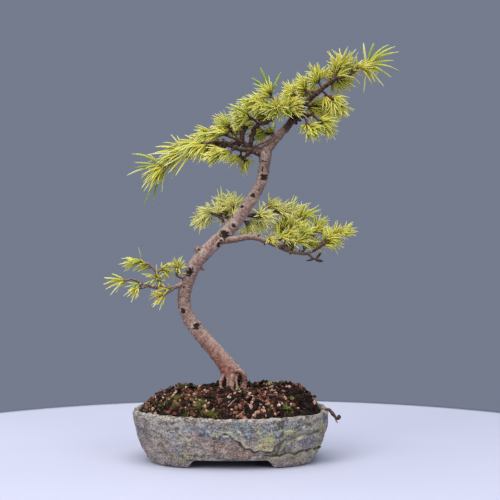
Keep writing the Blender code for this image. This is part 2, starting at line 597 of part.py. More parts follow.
class Crowding:
    """Every round stretch that is already in place: two ends, two radii and an owner each."""

    def __init__(self):
        self.rows = []
        self.owners = []

    def add(self, start, end, start_radius, end_radius, owner):
        self.rows.append((*start, *end, start_radius, end_radius))
        self.owners.append(owner)

    def add_path(self, path, owner):
        for a, b in zip(path, path[1:]):
            self.add(a[:3], b[:3], a[3], b[3], owner)

    def least_gap(self, start, end, start_radius, end_radius, but):
        """The least gap between a new stretch and all those of other owners."""
        rows = np.array(self.rows)[[owner not in but for owner in self.owners]]
        other, other_end = rows[:, 0:3], rows[:, 3:6]
        one = end - start
        two = other_end - other
        between = start - other
        a = max(one @ one, 1e-9)
        e = np.maximum((two * two).sum(axis=1), 1e-9)
        b = two @ one
        c = between @ one
        f = (two * between).sum(axis=1)
        steep = a * e - b * b
        s = np.where(steep > 1e-9, np.clip((b * f - c * e) / np.maximum(steep, 1e-9), 0, 1), 0)
        t = np.clip((b * s + f) / e, 0, 1)
        s = np.clip((b * t - c) / a, 0, 1)
        apart = between + s[:, None] * one - t[:, None] * two
        reach = start_radius + s * (end_radius - start_radius)
        reach = reach + rows[:, 6] + t * (rows[:, 7] - rows[:, 6])
        return float((np.linalg.norm(apart, axis=1) - reach).min())


def needle_line(root, direction, length, droop):
    """The three points of a needle: root, middle and a tip that its own weight bends down."""
    down = np.array([0.0, 0.0, -1.0])
    sag = down - (down @ direction) * direction
    middle = root + direction * length * 0.5
    tip = root + (direction + droop * sag) * length
    return root, middle, tip


def fits(crowding, line, but):
    root, middle, tip = line
    near = crowding.least_gap(root, middle, NEEDLE_BASE_RADIUS, BENT_MIDDLE_RADIUS, but)
    if near < NEEDLE_GAP:
        return False
    return crowding.least_gap(middle, tip, BENT_MIDDLE_RADIUS, NEEDLE_TIP_RADIUS, but) > NEEDLE_GAP


def grow_needles(random, crowding, bud, template, needle_form, owner, but):
    """Chooses the needles of one bud: face by face, turned or shortened until each is clear."""
    centre, axis, turn, tip_bud = bud
    reach, droop, fan = needle_form
    normals, centres = template
    normals, centres = normals @ turn.T, centres @ turn.T * BUD_RADIUS + centre
    needles = {}
    for face in np.argsort(-(normals @ axis)):
        normal, root = normals[face], centres[face]
        facing = float(normal @ axis)
        if facing < REARMOST_FACING:
            continue
        direction = normal + axis * fan
        share = TIP_LENGTH_SHARE + (1 - TIP_LENGTH_SHARE) * max(facing, 0.0) if tip_bud else 1.0
        length = reach * share * (1 + random.uniform(-LENGTH_VARIATION, LENGTH_VARIATION))
        jitter = random.normal(0, NEEDLE_SPREAD, size=(len(SHORTENINGS), 3))
        for attempt, shorter in enumerate(SHORTENINGS):
            aim = direction / np.linalg.norm(direction) + jitter[attempt] * (1 + attempt * SPREAD_GROWTH)
            aim /= np.linalg.norm(aim)
            line = needle_line(root, aim, length * shorter, droop)
            if aim @ normal > LEAST_UPRIGHTNESS and fits(crowding, line, but):
                needles[int(face)] = line
                crowding.add(line[0], line[1], NEEDLE_BASE_RADIUS, BENT_MIDDLE_RADIUS, owner)
                crowding.add(line[1], line[2], BENT_MIDDLE_RADIUS, NEEDLE_TIP_RADIUS, owner)
                break
    return needles


def bud_mesh(centre, turn, needles, name, group):
    """A bud whose chosen faces are drawn out into three-sided needles."""
    shape = bmesh.new()
    bmesh.ops.create_icosphere(shape, subdivisions=1, radius=BUD_RADIUS * MM)
    place = Matrix.Translation(Vector(centre) * MM) @ Matrix(turn.tolist()).to_4x4()
    bmesh.ops.transform(shape, matrix=place, verts=shape.verts)
    shape.faces.ensure_lookup_table()
    chosen = [(shape.faces[index], line) for index, line in needles.items()]
    for face, (root, middle, tip) in chosen:
        if np.linalg.norm(tip - root) > BENT_FROM_LENGTH:
            face = bmesh.ops.extrude_discrete_faces(shape, faces=[face])["faces"][0]
            heart = Vector(root) * MM
            slimmer = BENT_MIDDLE_RADIUS / NEEDLE_BASE_RADIUS
            for vertex in face.verts:
                vertex.co = Vector(middle) * MM + (vertex.co - heart) * slimmer
        point = bmesh.ops.poke(shape, faces=[face])["verts"][0]
        point.co = Vector(tip) * MM
    return object_from_bmesh(shape, name, group)


def make_wood(parts, feet):
    """The one grown piece: root crown, roots, trunk, limbs, knots, stubs and the twigs' feet."""
    trunk = tube(smooth_path(TRUNK, TRUNK_SPACING), TRUNK_SIDES, "trunk", parts)
    grown = new_collection("wood_pieces")
    crown = cylinder(CROWN_RADIUS, CROWN_BOTTOM, CROWN_SHOULDER, CROWN_X, segments=CROWN_SIDES)
    lid = [face for face in crown.faces if face.normal.z > 0.9]
    rise = bmesh.ops.extrude_discrete_faces(crown, faces=lid)["faces"][0]
    bmesh.ops.scale(crown, vec=(CROWN_TOP_SHARE, CROWN_TOP_SHARE, 1), verts=rise.verts,
                    space=Matrix.Translation((-CROWN_X * MM, 0, 0)))
    bmesh.ops.translate(crown, vec=(0, 0, (CROWN_TOP - CROWN_SHOULDER) * MM), verts=rise.verts)
    object_from_bmesh(crown, "root_crown", grown)
    for index, root in enumerate(ROOTS):
        tube(smooth_path(root), LIMB_SIDES, "root_%d" % index, grown)
    for name, limb in LIMBS.items():
        tube(smooth_path(limb), LIMB_SIDES, name, grown)
    for index, stub in enumerate(STUBS):
        tube(np.array(stub), LIMB_SIDES, "stub_%d" % index, grown)
    for index, (x, y, z, size) in enumerate(KNOTS):
        shape = bmesh.new()
        fineness = 2 if size > FINE_KNOT_RADIUS else 1
        bmesh.ops.create_icosphere(shape, subdivisions=fineness, radius=size * MM)
        bmesh.ops.translate(shape, verts=shape.verts, vec=Vector((x, y, z)) * MM)
        object_from_bmesh(shape, "knot_%d" % index, grown)
    for name, foot in feet.items():
        tube(foot, CORE_SIDES, name + "_foot", grown)
    wood = joined(trunk, grown, "trunk", parts)
    wood.data.materials.append(material("bark"))
    return wood


def wood_stretches(crowding, feet):
    crowding.add_path(smooth_path(TRUNK, TRUNK_SPACING), "wood")
    for path in [*ROOTS, *LIMBS.values(), *STUBS]:
        crowding.add_path(smooth_path(path), "wood")
    for x, y, z, size in KNOTS:
        crowding.add((x, y, z), (x, y, z), size, size, "wood")
    for foot in feet.values():
        crowding.add_path(foot, "wood")


def make_sprays(parts, twigs):
    """Plans every spray against all the others, then builds each as one solid."""
    random = np.random.default_rng(SEED)
    crowding = Crowding()
    wood_stretches(crowding, {name: foot for name, (foot, leafy) in twigs.items()})
    buds = {}
    for order, twig in enumerate(TWIGS):
        leafy = twigs[twig.name][1]
        crowding.add_path(leafy[:-1], twig.name + "_core")
        crowding.add(leafy[-2, :3], leafy[-1, :3], leafy[-2, 3], leafy[-1, 3], twig.name + "_bud_0")
        buds[twig.name] = bud_places(leafy, order * TURN_STEP)
    for name, places in buds.items():
        clear = [places[0]]
        own = {name + "_core"} | {name + "_bud_%d" % index for index in range(len(places))}
        for foot, centre, axis in places[1:]:
            if crowding.least_gap(foot, centre, BUD_RADIUS, BUD_RADIUS, own) > NEEDLE_GAP:
                clear.append((foot, centre, axis))
                owner = name + "_bud_%d" % (len(clear) - 1)
                crowding.add(foot, centre, SPUR_RADIUS, BUD_RADIUS, owner)
        crowding.add(clear[0][1], clear[0][1], BUD_RADIUS, BUD_RADIUS, name + "_bud_0")
        buds[name] = clear
    template = ball_template()
    green = material("needles")
    for twig in TWIGS:
        leafy = twigs[twig.name][1]
        pieces = new_collection(twig.name + "_pieces")
        for index, (foot, centre, axis) in enumerate(buds[twig.name]):
            facing = Vector(axis).to_track_quat("Z", "Y").to_matrix()
            spin = Matrix.Rotation(random.uniform(0, math.tau), 3, "Z")
            turn = np.array(facing @ spin)
            owner = "%s_bud_%d" % (twig.name, index)
            bud = (centre, axis, turn, index == 0)
            tip_form = (twig.tip_reach, twig.droop, twig.fan)
            side_form = (twig.reach, Twig._field_defaults["droop"], SIDE_FAN)
            needle_form = side_form if index else tip_form
            needles = grow_needles(random, crowding, bud, template, needle_form, owner, {owner})
            bud_mesh(centre, turn, needles, owner, pieces)
            if index:
                straight(foot, centre, SPUR_RADIUS, owner + "_spur", pieces)
        core = tube(leafy, CORE_SIDES, twig.name, parts)
        spray = joined(core, pieces, "spray_" + twig.name, parts)
        spray.data.materials.append(green)


def main():
    clear_scene()
    parts = new_collection("bonsai")
    cutters = new_collection("cutters")
    twigs = {twig.name: split_twig(twig) for twig in TWIGS}
    make_pot(parts, cutters)
    make_screens(parts, cutters)
    make_soil(parts, cutters)
    make_wood(parts, {name: foot for name, (foot, leafy) in twigs.items()})
    make_sprays(parts, twigs)


main()
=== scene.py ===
"""A small conifer trained as a bonsai, in an oval pot of handmade clay, dressed over its frame.

Lengths below are millimetres in the frame's own axes: +Z up, the viewer at -Y, the origin on the
table under the middle of the plant. A piece is a surface worked out with whole numpy arrays, as a
grid of points over two parameters or a round profile carried along a path, and is written to its
mesh in metres. The paths of the wood and the twigs are the ones that the solids follow.
"""
import math
from collections import namedtuple

import bpy
import numpy as np
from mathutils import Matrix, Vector


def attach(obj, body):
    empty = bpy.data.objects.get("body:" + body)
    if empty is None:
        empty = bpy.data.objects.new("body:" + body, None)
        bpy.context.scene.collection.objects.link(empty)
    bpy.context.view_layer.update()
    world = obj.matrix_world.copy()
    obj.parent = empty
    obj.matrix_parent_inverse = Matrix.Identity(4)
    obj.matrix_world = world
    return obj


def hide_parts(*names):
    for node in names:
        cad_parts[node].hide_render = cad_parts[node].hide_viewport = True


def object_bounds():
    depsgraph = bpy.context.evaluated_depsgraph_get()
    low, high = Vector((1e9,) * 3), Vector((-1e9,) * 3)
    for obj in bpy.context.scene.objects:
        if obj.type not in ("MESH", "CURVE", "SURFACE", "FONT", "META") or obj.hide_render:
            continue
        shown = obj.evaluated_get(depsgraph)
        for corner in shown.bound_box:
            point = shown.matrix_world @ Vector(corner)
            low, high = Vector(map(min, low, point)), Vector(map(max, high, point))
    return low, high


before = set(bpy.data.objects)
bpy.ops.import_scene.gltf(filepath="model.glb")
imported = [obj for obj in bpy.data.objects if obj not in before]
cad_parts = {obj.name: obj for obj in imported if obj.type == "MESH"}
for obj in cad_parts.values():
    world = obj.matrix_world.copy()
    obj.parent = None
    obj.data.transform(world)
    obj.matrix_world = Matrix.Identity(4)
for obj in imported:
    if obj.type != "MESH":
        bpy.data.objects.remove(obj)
solid_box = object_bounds()

MM = 0.001
GOLDEN_ANGLE = math.radians(137.5)

# Pot: the same oval form as the solid, squared off, flattened and waved by hand
POT_CENTRE_X = -20.0
POT_DEPTH_RATIO = 0.76
POT_SQUARENESS = 2.45
POT_FOOT_SHIFT = 1.8
POT_HEIGHT = 50.0
POT_FLOOR = 14.0
POT_UNDERSIDE = 8.0
POT_FOOT_INSIDE = [(59, POT_UNDERSIDE), (61, 4), (64, 0)]
POT_OUTSIDE = [(79, 0), (83, 1.5), (86.5, 7), (89.5, 14), (92.3, 22), (94.3, 30), (96, 38), (96.6, 46)]
POT_LIP = [(94.8, 49.4), (92, 49.6), (90.4, 47.6)]
POT_INSIDE = [(89.6, 43), (86.5, 30), (80, 19), (70, POT_FLOOR)]
FRONT_ARCH_WIDTH = 86.0
SIDE_ARCH_WIDTH = 58.0
ARCH_HEIGHT = 7.5
ARCH_SLOPE = 9.0
ARCH_INNER_RADIUS = 58.0
FOOT_BAND = 15.0
DRAIN_RADIUS = 6.0
DRAIN_OFFSET = 36.0
POT_TURNS = 500
POT_GRAIN = 0.9
# How far before or behind the pot's middle its front and back walls start
WALL_START = 20.0

# Folds where one sheet of clay laps over the next, as x and z on the pot's front or back wall.
# The sheet to the left of a line's direction is the one on top, or to the right where the lift is
# negative. Last comes how dark the crack and painted shadow at the fold's foot are.
FRONT_FOLDS = [
    ([(-24, 36), (-17, 32), (-13, 28), (-8, 24), (-4, 21), (2.5, 18.5), (9, 17.6), (16, 17.8),
      (21, 19.5), (25, 22.5)], 1.6, 1.0),
    ([(25.5, 14), (26, 18), (29, 22.5), (34, 26.5), (41, 29.5), (49, 31), (57, 31.8),
      (67, 32.5)], -1.4, 0.6),
    ([(15, 10.5), (23.6, 11.9), (30, 13.0), (38, 13.8), (52.6, 14.4), (61, 14.6), (68, 14.6)], -1.8, 1.0),
    ([(-67.5, 34), (-61, 29), (-53.5, 24)], 0.8, 0.4),
    ([(-89, 29.5), (-85, 25), (-81, 21)], 0.6, 0.4),
    ([(57, 42), (59, 38), (58, 34)], 0.5, 0.7),
]
BACK_FOLDS = [
    ([(-80, 22), (-62, 27), (-44, 25), (-30, 18), (-14, 15)], 1.3, 0.8),
    ([(-16, 38), (0, 33), (12, 25), (26, 21), (44, 24), (58, 32)], 1.4, 0.9),
    ([(-58, 40), (-50, 34), (-40, 32)], -0.9, 0.4),
]

# Pale veins of the glaze, as x and z on the front wall
VEINS = [
    [(-43, 38), (-35, 35), (-29, 38), (-22, 36), (-14, 39), (-8, 36)],
    [(-32, 34), (-26, 32.5), (-19, 34), (-12, 31)],
    [(-68, 33), (-62, 28.5), (-55, 23)],
    [(-75, 38), (-66, 36), (-58, 38.5)],
    [(6, 36.5), (15, 37.5), (22, 35.5), (31, 37.5), (41, 36)],
    [(33, 25), (40, 28), (48, 29.5), (56, 29)],
    [(47, 39), (56, 36.5), (63, 38)],
]

# Patches of the glaze, as x, z, half width, half height and strength on the front wall
BLUE_PATCHES = [
    (-45, 39, 22, 5, 1.0), (-12, 37, 26, 5.5, 1.0), (22, 38, 20, 5, 1.0), (40, 40, 18, 3.5, 0.9),
    (30, 30, 9, 5, 0.9), (52, 25, 12, 4, 0.7), (-72, 30, 12, 7, 0.55), (-66, 16, 12, 6, 0.5),
    (27, 13, 5, 4, 0.9), (-30, 30, 14, 4, 0.5), (58, 36, 10, 4, 0.6),
]
OCHRE_PATCHES = [
    (14, 27, 9, 6, 1.0), (8, 37, 8, 3, 0.6), (38, 35, 9, 3.5, 0.8), (45, 10, 16, 4.5, 0.25),
    (31, 21, 4, 5, 0.6), (-18, 40, 10, 2, 0.6), (-60, 12, 14, 4, 0.5), (62, 14, 8, 5, 0.3),
]
RUST_PATCHES = [
    (-28, 24, 24, 9, 0.75), (0, 14, 18, 4, 0.9), (-50, 33, 9, 5, 0.6), (-80, 20, 8, 8, 0.4),
    (58, 42, 8, 4, 0.5), (12, 10, 10, 3, 0.8), (46, 7, 18, 5, 0.5),
]
# Each glaze's patches on the front, the seed of its ripple, and its strength on the other walls
GLAZES = {
    "blue": (BLUE_PATCHES, 500, 0.1),
    "ochre": (OCHRE_PATCHES, 510, 0.25),
    "rust": (RUST_PATCHES, 520, 0.25),
}

# Soil, and how many of each thing lie on it
SOIL_RADIUS = 89.1
SOIL_TOP = 69.2
SOIL_EDGE = 46.6
SOIL_FULLNESS = 4.5
SOIL_FULLER_RIGHT = 4.0
SOIL_FLOOR = 14.3
SOIL_TURNS = 240
SOIL_ROWS = 72
GRANULES = 1700
GRIT = 2500
CLODS = 200
FLAKES = 620
HEAPED_CLODS = 90
CHIPS = 170
# How far from the trunk's foot the heaped clods reach
HEAP_REACH = 23.0
# The soil's side within the pot, as radius and height
SOIL_SIDE = [(20, SOIL_FLOOR), (45, SOIL_FLOOR), (69.3, SOIL_FLOOR), (79.4, 19.3), (85.9, 30),
             (87.9, 37), (89, 43)]
# Cushions of moss: x, y, radius and fullness
MOSS_PATCHES = [
    (-84, -40, 4.5, 1.0), (-76, -37, 5, 0.9), (-69, -41, 5.5, 1.0), (-48, -54, 6.0, 1.6),
    (-36, -63, 6, 0.8), (-94, -26, 5, 0.6), (-61, -59, 4.5, 0.8), (-71, -50, 5.0, 0.9),
    (36, -52, 4.5, 0.9), (-43, -62, 4.5, 0.8), (-56, -46, 3.5, 0.6), (-31, -62, 3.5, 0.7),
    (-66, 4, 8, 0.9), (8, 24, 8, 0.9), (-40, 36, 8, 1.0), (-74, 24, 6, 0.8), (30, 18, 5, 0.6),
    (20, -57, 3, 0.5), (-96, 6, 5, 0.6), (-8, 44, 6, 0.7), (52, 30, 6, 0.8), (-50, 56, 5, 0.7),
]
MOSS_BLADES = 5400
# The dark, leafy patch at the soil's right
LICHEN_CENTRE = (54.0, -20.0)
LICHEN_RADIUS = 24.0
# Tufts of sprouts: x, y, how many blades and how long they are
TUFTS = [
    (21, 4, 9, 5.0), (36, -52, 14, 4.2), (42, -40, 7, 4.5), (-3, 15, 6, 4.0), (-36, -62, 8, 3.4),
    (-70, 18, 6, 4.2), (0, 38, 8, 4.4), (-50, -22, 6, 3.6), (30, -26, 6, 3.2), (58, 22, 7, 4.0),
]
# Dry straws: x, y and height above the mound at both ends, and the radius
STRAWS = [
    ((-22, -58, 1), (-13, -49, 3), 0.45), ((-62, -4, 1), (-50, -24, 5), 0.5),
    ((-3, -36, 1.5), (7, -46, 1.5), 0.35), ((-84, 2, 0), (-80, 0, 7), 0.8),
    ((-8, -26, 2), (-1, -34, 2), 0.4), ((16, -40, 1), (27, -44, 3), 0.35),
    ((-86, 0, 0), (-90, -3, 8), 0.5), ((52, 4, 0), (50, 2, 7), 0.5), ((58, 0, 0), (63, -2, 6), 0.45),
]
# The dried leaf over the pot's right rim, and its stalk: x, y, z and radius along each
DRY_LEAF = [
    (73, -28, 52, 0.8), (76, -28.5, 52.5, 1.3), (79, -29, 50.5, 1.7), (81.5, -29, 47.5, 1.5),
    (83.5, -29, 44.8, 1.2), (85.5, -29, 43.5, 1.8), (87, -29, 45.2, 2.0), (86.2, -29, 46.8, 1.0),
]
DRY_STALK = [(82, -29, 47, 0.9), (84, -29, 41.5, 0.7), (85.5, -29, 39.5, 0.5)]

# Root crown, and its side and top as radius and height
CROWN_X = -18.5
CROWN_RADIUS = 14.3
CROWN_PROFILE = [
    (CROWN_RADIUS, 36), (CROWN_RADIUS, 48), (CROWN_RADIUS, 58), (CROWN_RADIUS, 65), (13.6, 68),
    (12.4, 69.6), (11, 70.6), (9, 71.4), (6, 72), (3, 72.2),
]

# Trunk and limbs: x, y, z and radius of each point that the wood grows through
TRUNK = [
    (-18.5, 0, 50, 9.8), (-18.5, 0, 64, 10.8), (-19, 0, 78, 10.0), (-21.5, 0, 90, 8.9),
    (-32, 1, 104, 7.9), (-47.2, 2, 121, 7.1), (-60.3, 3, 138, 6.6), (-66.2, 4, 156, 6.4),
    (-63, 3, 176, 6.7), (-52.4, 0, 196.5, 6.7), (-35.4, -3, 214.5, 6.6), (-17.5, -5, 231.5, 6.1),
    (-1.5, -5, 253.6, 5.6), (10.6, -3, 274.7, 5.4), (14.6, -1, 294, 5.5), (16.5, -1, 308, 5.9),
    (26.3, -3, 319.7, 4.6), (38, -6, 331.7, 3.5), (47, -9, 344.8, 3.0), (62, -12, 360, 2.5),
    (72, -13, 368, 2.2), (86, -13, 378, 1.7),
]

# Each limb: its points, and how dark its bark is at its start and at its end
Limb = namedtuple("Limb", "points dark_start dark_end")
LIMBS = {
    "low_left": Limb([(-64, 3, 176, 2.6), (-72, -2, 172, 2.0), (-80, -5, 170, 1.9), (-93, -8, 171, 1.7),
                      (-101, -9, 173, 1.5), (-108, -10, 175, 1.4), (-113, -10, 178, 1.3)], 0.1, 0.6),
    "low_left_rise": Limb([(-87, -7, 170.5, 1.5), (-90, -4, 178, 1.4), (-93, -2, 185, 1.3)], 0.4, 0.6),
    "back_left": Limb([(-22, -4, 230, 2.6), (-23, 6, 235, 2.2), (-27, 16, 240, 1.8),
                       (-33, 22, 243, 1.4)], 0.3, 0.8),
    "back_right": Limb([(-12, -5, 240, 2.6), (-6, 5, 242, 2.1), (2, 13, 244, 1.7),
                        (12, 18, 246, 1.4)], 0.3, 0.8),
    "mid_right": Limb([(-34, -3, 218, 3.9), (-20, -8, 218, 3.4), (-10, -11, 219.5, 3.1),
                        (0, -13, 221, 2.9), (8, -14, 219.5, 2.7), (16, -15, 216.5, 2.4),
                        (25, -15, 213, 2.1), (32, -15, 209.5, 1.9), (40, -15, 206.5, 1.7),
                        (50, -14, 204.5, 1.6), (58, -13, 205, 1.4), (68, -13, 210, 1.3)], 0.0, 0.7),
    "mid_right_back": Limb([(30, -15, 211, 1.5), (34, -5, 216, 1.3), (36, 3, 222, 1.2)], 0.5, 0.8),
    "dry_end": Limb([(57, -13, 205, 1.1), (62, -15, 200, 1.0), (65, -16, 199, 1.0)], 0.6, 0.9),
    "apex_left": Limb([(15, -1, 304, 3.9), (6, -4, 306, 3.3), (0, -6, 310, 2.9),
                        (-8, -8, 315, 2.4), (-14, -9, 318, 1.8)], 0.55, 1.0),
    "apex_left_low": Limb([(4, -4, 307, 2.4), (-5, -11, 307, 2.2), (-12, -14, 308, 2.0),
                            (-19, -16, 311, 1.9), (-24, -17, 314, 1.7), (-33, -18, 315, 1.4)], 0.9, 1.0),
    "apex_left_long": Limb([(-8, -8, 315, 2.2), (-18, -3, 314, 2.1), (-30, 1, 312, 1.9),
                             (-45, 4, 310, 1.6), (-60, 4, 306, 1.3)], 1.0, 1.0),
    "apex_up": Limb([(0, -6, 310, 2.1), (2, -8, 320, 2.0), (5, -10, 329, 1.9), (10, -11, 333, 1.8),
                      (18, -11, 335, 1.7), (23, -11, 341, 1.6), (21, -10, 348, 1.5),
                      (25, -9, 355, 1.3)], 0.9, 1.0),
    "red_shoot": Limb([(14, -3, 309, 1.3), (5, -7, 311, 1.2), (12, -9, 314, 1.1),
                        (20, -10, 318, 1.0), (25, -11, 323, 0.9)], 0.5, 0.6),
    "apex_low_right": Limb([(36, -6, 330, 2.5), (45, -12, 336, 2.0), (55, -16, 341, 1.6),
                             (62, -18, 341, 1.3)], 0.8, 1.0),
}
# The roots that swell the trunk's foot, and the thin ones that lie over them
ROOTS = [
    [(-19, -2, 92, 4.8), (-11, -4, 86, 4.5), (-8, -5, 79, 4.0), (-7.5, -7, 73, 3.9),
     (-6.5, -9, 66, 4.6)],
    [(-22, -2, 88, 4.2), (-26, -2.5, 79, 3.4), (-28, -3, 72.5, 3.6), (-30, -4, 66, 4.2)],
    [(-19, -3, 87, 4.2), (-18, -7.5, 79, 3.3), (-18, -10, 72.5, 3.8), (-19, -12.5, 66, 4.8)],
    [(-18, 3, 86, 4.2), (-15, 8, 77, 4.0), (-14, 9, 62, 3.6)],
]
FINE_ROOTS = [
    [(-15, -7.5, 87, 1.5), (-11, -9.5, 88, 1.9), (-7, -9.5, 85.5, 2.0), (-5, -9, 80, 2.0),
     (-4.8, -9.5, 73, 1.9), (-5.5, -11, 66, 2.1)],
    [(-26, -7, 84, 1.6), (-29, -9.5, 77, 1.7), (-29.5, -12, 70.5, 1.7), (-30.5, -15, 64, 1.5)],
    [(-22, -6, 82, 2.6), (-23.5, -9.5, 75, 2.2), (-25.5, -13, 69.5, 2.2), (-28, -16, 66, 2.0)],
    [(-13, -6, 82, 2.4), (-12.5, -10, 75, 1.9), (-13, -13.5, 69.5, 2.0), (-14, -17, 66, 1.8)],
    [(-8, -7, 78, 1.7), (-8.5, -10.5, 72, 1.5), (-10, -13, 68, 1.5)],
]
# How dark the bark of every root is at its start and at its end
ROOT_DARKNESS = (0.0, 0.3)
# Stubs of cut branches. The first ones are as pink as the trunk, and the others are dark.
PINK_STUBS = 2
STUBS = [
    [(-44, -1, 201, 5.2), (-48.5, -2, 205.5, 4.6), (-52, -3, 208.5, 3.6), (-54, -3, 210, 2.9)],
    [(-54, 0, 191, 1.6), (-46, 0, 188.5, 1.3)],
    [(3, -5, 308, 1.8), (-3, -8, 302, 1.7), (-6, -9, 299.5, 1.5)],
    [(-9, -8.5, 316, 2.2), (-7, -10, 324, 2.1), (-3, -11, 330, 1.8)],
    [(63, -15, 200, 1.0), (59, -16, 198, 1.3), (56, -17, 197.5, 0.9)],
    [(65, -16, 199, 1.0), (69, -17, 197.5, 1.4), (72, -17, 197, 0.9)],
    [(65, -16, 199, 0.9), (68, -15, 203, 1.2), (70, -15, 205, 0.8)],
]

# How red a limb's bark is, where it is red at all
RED_LIMBS = {"red_shoot": 0.55}
# Old spurs on the limbs whose names start so: how far apart and how dark they are, and how far
# along the limb the first one stands
OLD_SPURS = {
    "apex": (3.1, 1.0, 4.0), "mid_right": (9.0, 0.75, 24.0), "mid_right_back": (9.0, 0.75, 8.0),
    "back": (9.0, 0.75, 8.0), "low_left": (8.0, 0.5, 14.0),
}
# An old spur from its foot to its end: share of its reach, and of its thickness
OLD_SPUR_FORM = ((0.0, 1.0), (0.6, 0.9), (0.85, 1.2), (1.0, 0.7))
# How the pattern of the bark's plates is squeezed across the wood and along it
BARK_PLATE_STRETCH = np.array([0.45, 0.45, 1.0])

# Scars on the trunk: x and z, side (-1 front, 1 back), width, height, depth of the dark heart
# and height of the rim round it, which also sets the painted highlight beside the rim
SCARS = [
    (-53, 132, -1, 8.5, 7.0, 1.0, 1.3), (-67.0, 147, -1, 6.0, 6.5, 0.7, 0.7),
    (-60, 186, -1, 6.5, 10.0, 0.9, 1.0), (-25, 223, -1, 10.5, 9.0, 1.2, 1.6),
    (-29.5, 214.5, -1, 5.5, 11.0, 1.0, 0.9), (-16, 232, -1, 5.0, 4.0, 0.5, 0.6),
    (-17, 240.5, -1, 2.4, 2.2, 0.3, 0.3), (-8, 251, -1, 5.0, 4.5, 0.6, 0.7),
    (3, 262, -1, 5.0, 5.5, 0.6, 0.7), (9.5, 268, -1, 2.2, 2.4, 0.3, 0.3),
    (14, 280, -1, 8.0, 7.5, 1.0, 1.2), (12.5, 288, -1, 1.8, 7.0, 0.5, 0.4),
    # The low, wide scar at x 13.5 and z 296.5 is a line of painted shadow under the knob above it.
    (15.8, 305, -1, 1.8, 1.8, 0.6, 0.4), (13.5, 296.5, -1, 9.0, 1.5, 0.4, 0.3),
    (-66, 171, -1, 2.2, 3.0, 0.4, 0.5), (-51, 208, -1, 3.0, 4.0, 0.7, 0.5),
    (-42, 117, 1, 6.0, 5.0, 0.8, 0.9), (-62, 160, 1, 5.0, 6.0, 0.7, 0.8),
    (-46, 205, 1, 6.5, 6.0, 0.9, 1.1), (2, 262, 1, 5.0, 5.0, 0.7, 0.8), (15, 296, 1, 4.5, 5.5, 0.7, 0.8),
]

# Knobs on the trunk's front: x, z, radius and height, which also sets how strong their painted highlight is
KNOBS = [
    (15, 303, 4.5, 2.2), (-48, 206, 5.0, 0.9), (-24, 218, 4.0, 0.8), (-17, 235, 5.0, 0.9),
    (5, 259, 4.5, 0.7),
]
# Hollows between the roots on the front of the foot, darkened with painted shade: x, z, half width, half
# height and depth
HOLLOWS = [
    (-9.6, 79, 2.3, 6.0, 2.6), (-15, 73, 1.0, 3.5, 1.2), (-25, 76, 1.7, 5.5, 2.2),
    (-13, 86.5, 2.6, 0.9, 0.7), (-20.5, 71, 1.1, 3.0, 1.2),
]

